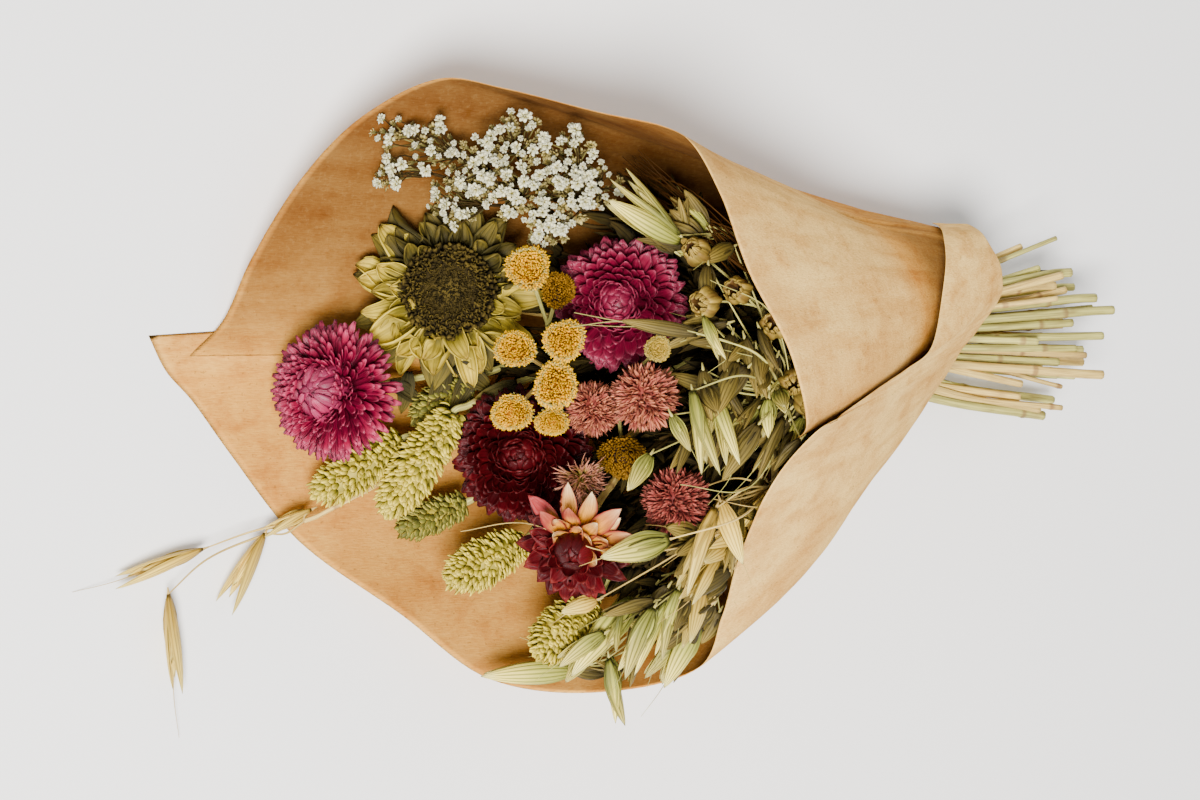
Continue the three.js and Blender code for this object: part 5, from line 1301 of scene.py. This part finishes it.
def add_tie():
    """Two strands twisted round each other, wound three times round the stems."""
    low, high = (np.array(corner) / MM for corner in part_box("twine_tie"))
    centre, half = (low + high) / 2, (high - low) / 2
    strand, turns, twists = 0.75, 3, 42
    t = np.linspace(0, 1, 420)
    turn, twist = 2 * np.pi * turns * t, 2 * np.pi * twists * t
    grow = Growth()
    for phase in (0, np.pi):
        out = half[1] - 2.1 * strand + 0.8 * strand * np.cos(twist + phase)
        shift = (t - 0.5) * 2 * (half[0] - 1.6 * strand) + 0.8 * strand * np.sin(twist + phase)
        path = centre + np.stack([shift, out * np.cos(turn), out * np.sin(turn)], 1)
        add_tube(grow, path, strand, sides=8, ribs=4, shade=0.4 + 0.2 * phase / np.pi)
    grow.piece("twine_strands", "twine", ["twine_tie"], TWINE)


# Dark stalks and leaves under the blooms, partly real stalks and partly painted shade in the gaps
# between them: (middle, spread).
UNDERSTOREY = [
    ((-22, 40, 36), 15), ((-42, 14, 30), 14), ((-12, 12, 44), 14), ((-14, -28, 40), 14), ((-2, -46, 50), 14),
    ((14, -20, 66), 16), ((22, 18, 72), 16), ((14, -60, 52), 13), ((26, 46, 72), 12), ((30, -30, 62), 14),
    ((6, 60, 62), 12), ((40, 0, 70), 14),
]
SUNFLOWER_REACH, GRASS_REACH = 32, 15
STALKS_PER_CLUMP = 12
LEAVES_PER_STALK = 12
STALK_STEPS = 30


def blooms():
    """Middle and radius of every bloom that stands over the understorey."""
    yield SUNFLOWER_CENTRE, SUNFLOWER_REACH
    for centre, _, radius, *_ in (*STRAWFLOWERS.values(), *AMARANTHS.values()):
        yield centre, radius
    for _, heads in BUTTONS.values():
        for centre, radius, _ in heads.values():
            yield centre, radius
    for base, tip, _ in CANARY_GRASS.values():
        yield (np.array(base) + np.array(tip)) / 2, GRASS_REACH


def under_blooms(points):
    """Which points neither touch a bloom nor stand in front of one."""
    free = np.ones(len(points), bool)
    for centre, radius in blooms():
        away = points - np.array(centre, float)
        height = away @ VIEW
        aside = np.linalg.norm(away - height[:, None] * VIEW, axis=1)
        free &= (height < -0.3 * radius) | (aside > radius + 3)
    return free


# Grey-green leaves that show in the gaps round the sunflower: (root, tip, width).
GAP_LEAVES = [
    ((-52, 12, 34), (-38, 3, 33), 8), ((-71, 6, 20), (-57, -2, 21), 6), ((-52, 14, 28), (-59, -6, 25), 7),
    ((-44, 10, 30), (-52, -4, 29), 7), ((-31, 6, 40), (-46, 0, 36), 6), ((-64, 10, 20), (-66, -5, 18), 6),
    ((-36, 4, 38), (-48, -6, 34), 5),
]


def add_understorey():
    """Thin dark stalks that fan out from the tie, with narrow leaves at their ends."""
    # Their dark colour is partly their own and partly painted shade for the gaps between the blooms.
    rng = np.random.default_rng(800)
    grow = Growth()
    for middle, spread in UNDERSTOREY:
        for _ in range(STALKS_PER_CLUMP):
            end = held_inside(np.array(middle, float) + rng.normal(0, 0.5, 3) * spread, 4)
            start = TIE_MIDDLE + rng.normal(0, 4, 3)
            bow = held_inside((start + end) / 2 + rng.normal(0, 4, 3), 4)
            path = curve_through([start, bow, end], np.linspace(0, 1, STALK_STEPS))
            path = path[:max(12, int(np.argmin(under_blooms(path))) or STALK_STEPS)]
            add_tube(grow, path, np.linspace(0.9, 0.5, len(path)), sides=6, shade=rng.uniform())
            count = LEAVES_PER_STALK
            where = path[rng.integers(len(path) // 2, len(path), count)]
            way = unit(unit(end - start) + rng.normal(0, 0.5, (count, 3)))
            size = rng.uniform(9, 20, count)
            tips = where + way * size[:, None]
            clear = under_blooms(tips) & [np.allclose(held_inside(tip, 1.5), tip) for tip in tips]
            where, way, size = where[clear], way[clear], size[clear]
            count = len(size)
            if count:
                add_leaves(grow, where, way, UP + rng.normal(0, 0.3, (count, 3)), size,
                           size * rng.uniform(0.18, 0.3, count), outline(0.3, 0.4, 0.9),
                           bend=rng.normal(-0.3, 0.5, count), cup=0.5, ruffle=0.2,
                           twist=rng.normal(0, 0.8, count), thick=0.25, shade=rng.uniform(0, 1, count),
                           rows=7, cols=4, material=1)
    for root, tip, width in GAP_LEAVES:
        root, run = np.array(root, float), np.array(tip, float) - root
        add_leaves(grow, root[None], run, UP, np.linalg.norm(run), width, outline(0.4, 0.4, 0.8),
                   bend=rng.normal(-0.4, 0.3), cup=0.7, ruffle=0.2, twist=rng.normal(0, 0.4), thick=0.4,
                   shade=rng.uniform(0, 0.6), rows=12, cols=9, material=2)
    grow.piece("understorey", "babys_breath", [], TWIG, SHADE_FOLIAGE, SEPAL)


# Ends of further stalks, which leave the neck of the paper between the others.
CUT_ENDS = [
    (188, 61, 37), (190, 47, 38), (177, 58, 30), (170, 52, 24), (199, 42, 26), (184, 38, 44), (207, 35, 32),
    (192, 30, 16), (208, 24, 24), (178, 22, 40), (203, 17, 34), (188, 12, 22), (208, 9, 18), (196, 5, 28),
    (182, 1, 20), (202, 0, 12), (190, -4, 22), (175, 44, 12), (184, 30, 30), (198, 13, 10), (176, 6, 32),
    (186, 50, 28), (198, -3, 25), (184, -5, 16), (193, -6, 20),
]


def add_cut_ends():
    rng = np.random.default_rng(810)
    grow = Growth()
    for k, end in enumerate(CUT_ENDS):
        end = np.array(end, float)
        start = TIE_MIDDLE + (end - TIE_MIDDLE) * (0.02, 0.22, 0.3) + rng.normal(0, 1.5, 3)
        bow = start + (end - start) * (0.5, 0.7 if end[1] < 2 else 0.4, 0.42) + rng.normal(0, 0.6, 3)
        path = curve_through([start, bow, end], np.linspace(0, 1, 60))
        knots = rng.uniform(60, 105, 1)
        add_tube(grow, path, rng.uniform(0.8, 1.7), sides=12, ribs=6, knots=knots, shade=rng.uniform(),
                 hollow=True, material=int(k % 3 == 0))
    grow.piece("cut_ends", "straw_stem", [], STRAW, GREEN_STRAW)


# ---- the scene ----

add_camera()
add_stage()
WALLS = [wall_of(sheet) for sheet in (
    add_sheet("wrap_sheet_outer", OUTER_SHEET, *OUTER_PAINTED_LIGHT),
    add_sheet("wrap_sheet_inner", INNER_SHEET, *INNER_PAINTED_LIGHT))]
for name, flower in STRAWFLOWERS.items():
    add_strawflower(name, *flower)
add_sunflower()
for name, globe in AMARANTHS.items():
    add_amaranth(name, *globe)
for name, (fork, heads) in BUTTONS.items():
    add_button_spray(name, fork, heads)
for name, head in CANARY_GRASS.items():
    add_canary_grass(name, *head)
add_babys_breath()
for name, spray in OATS.items():
    add_oat_spray(name, *spray)
for name, spray in PODS.items():
    add_pod_spray(name, *spray)
add_tie()
add_understorey()
add_cut_ends()
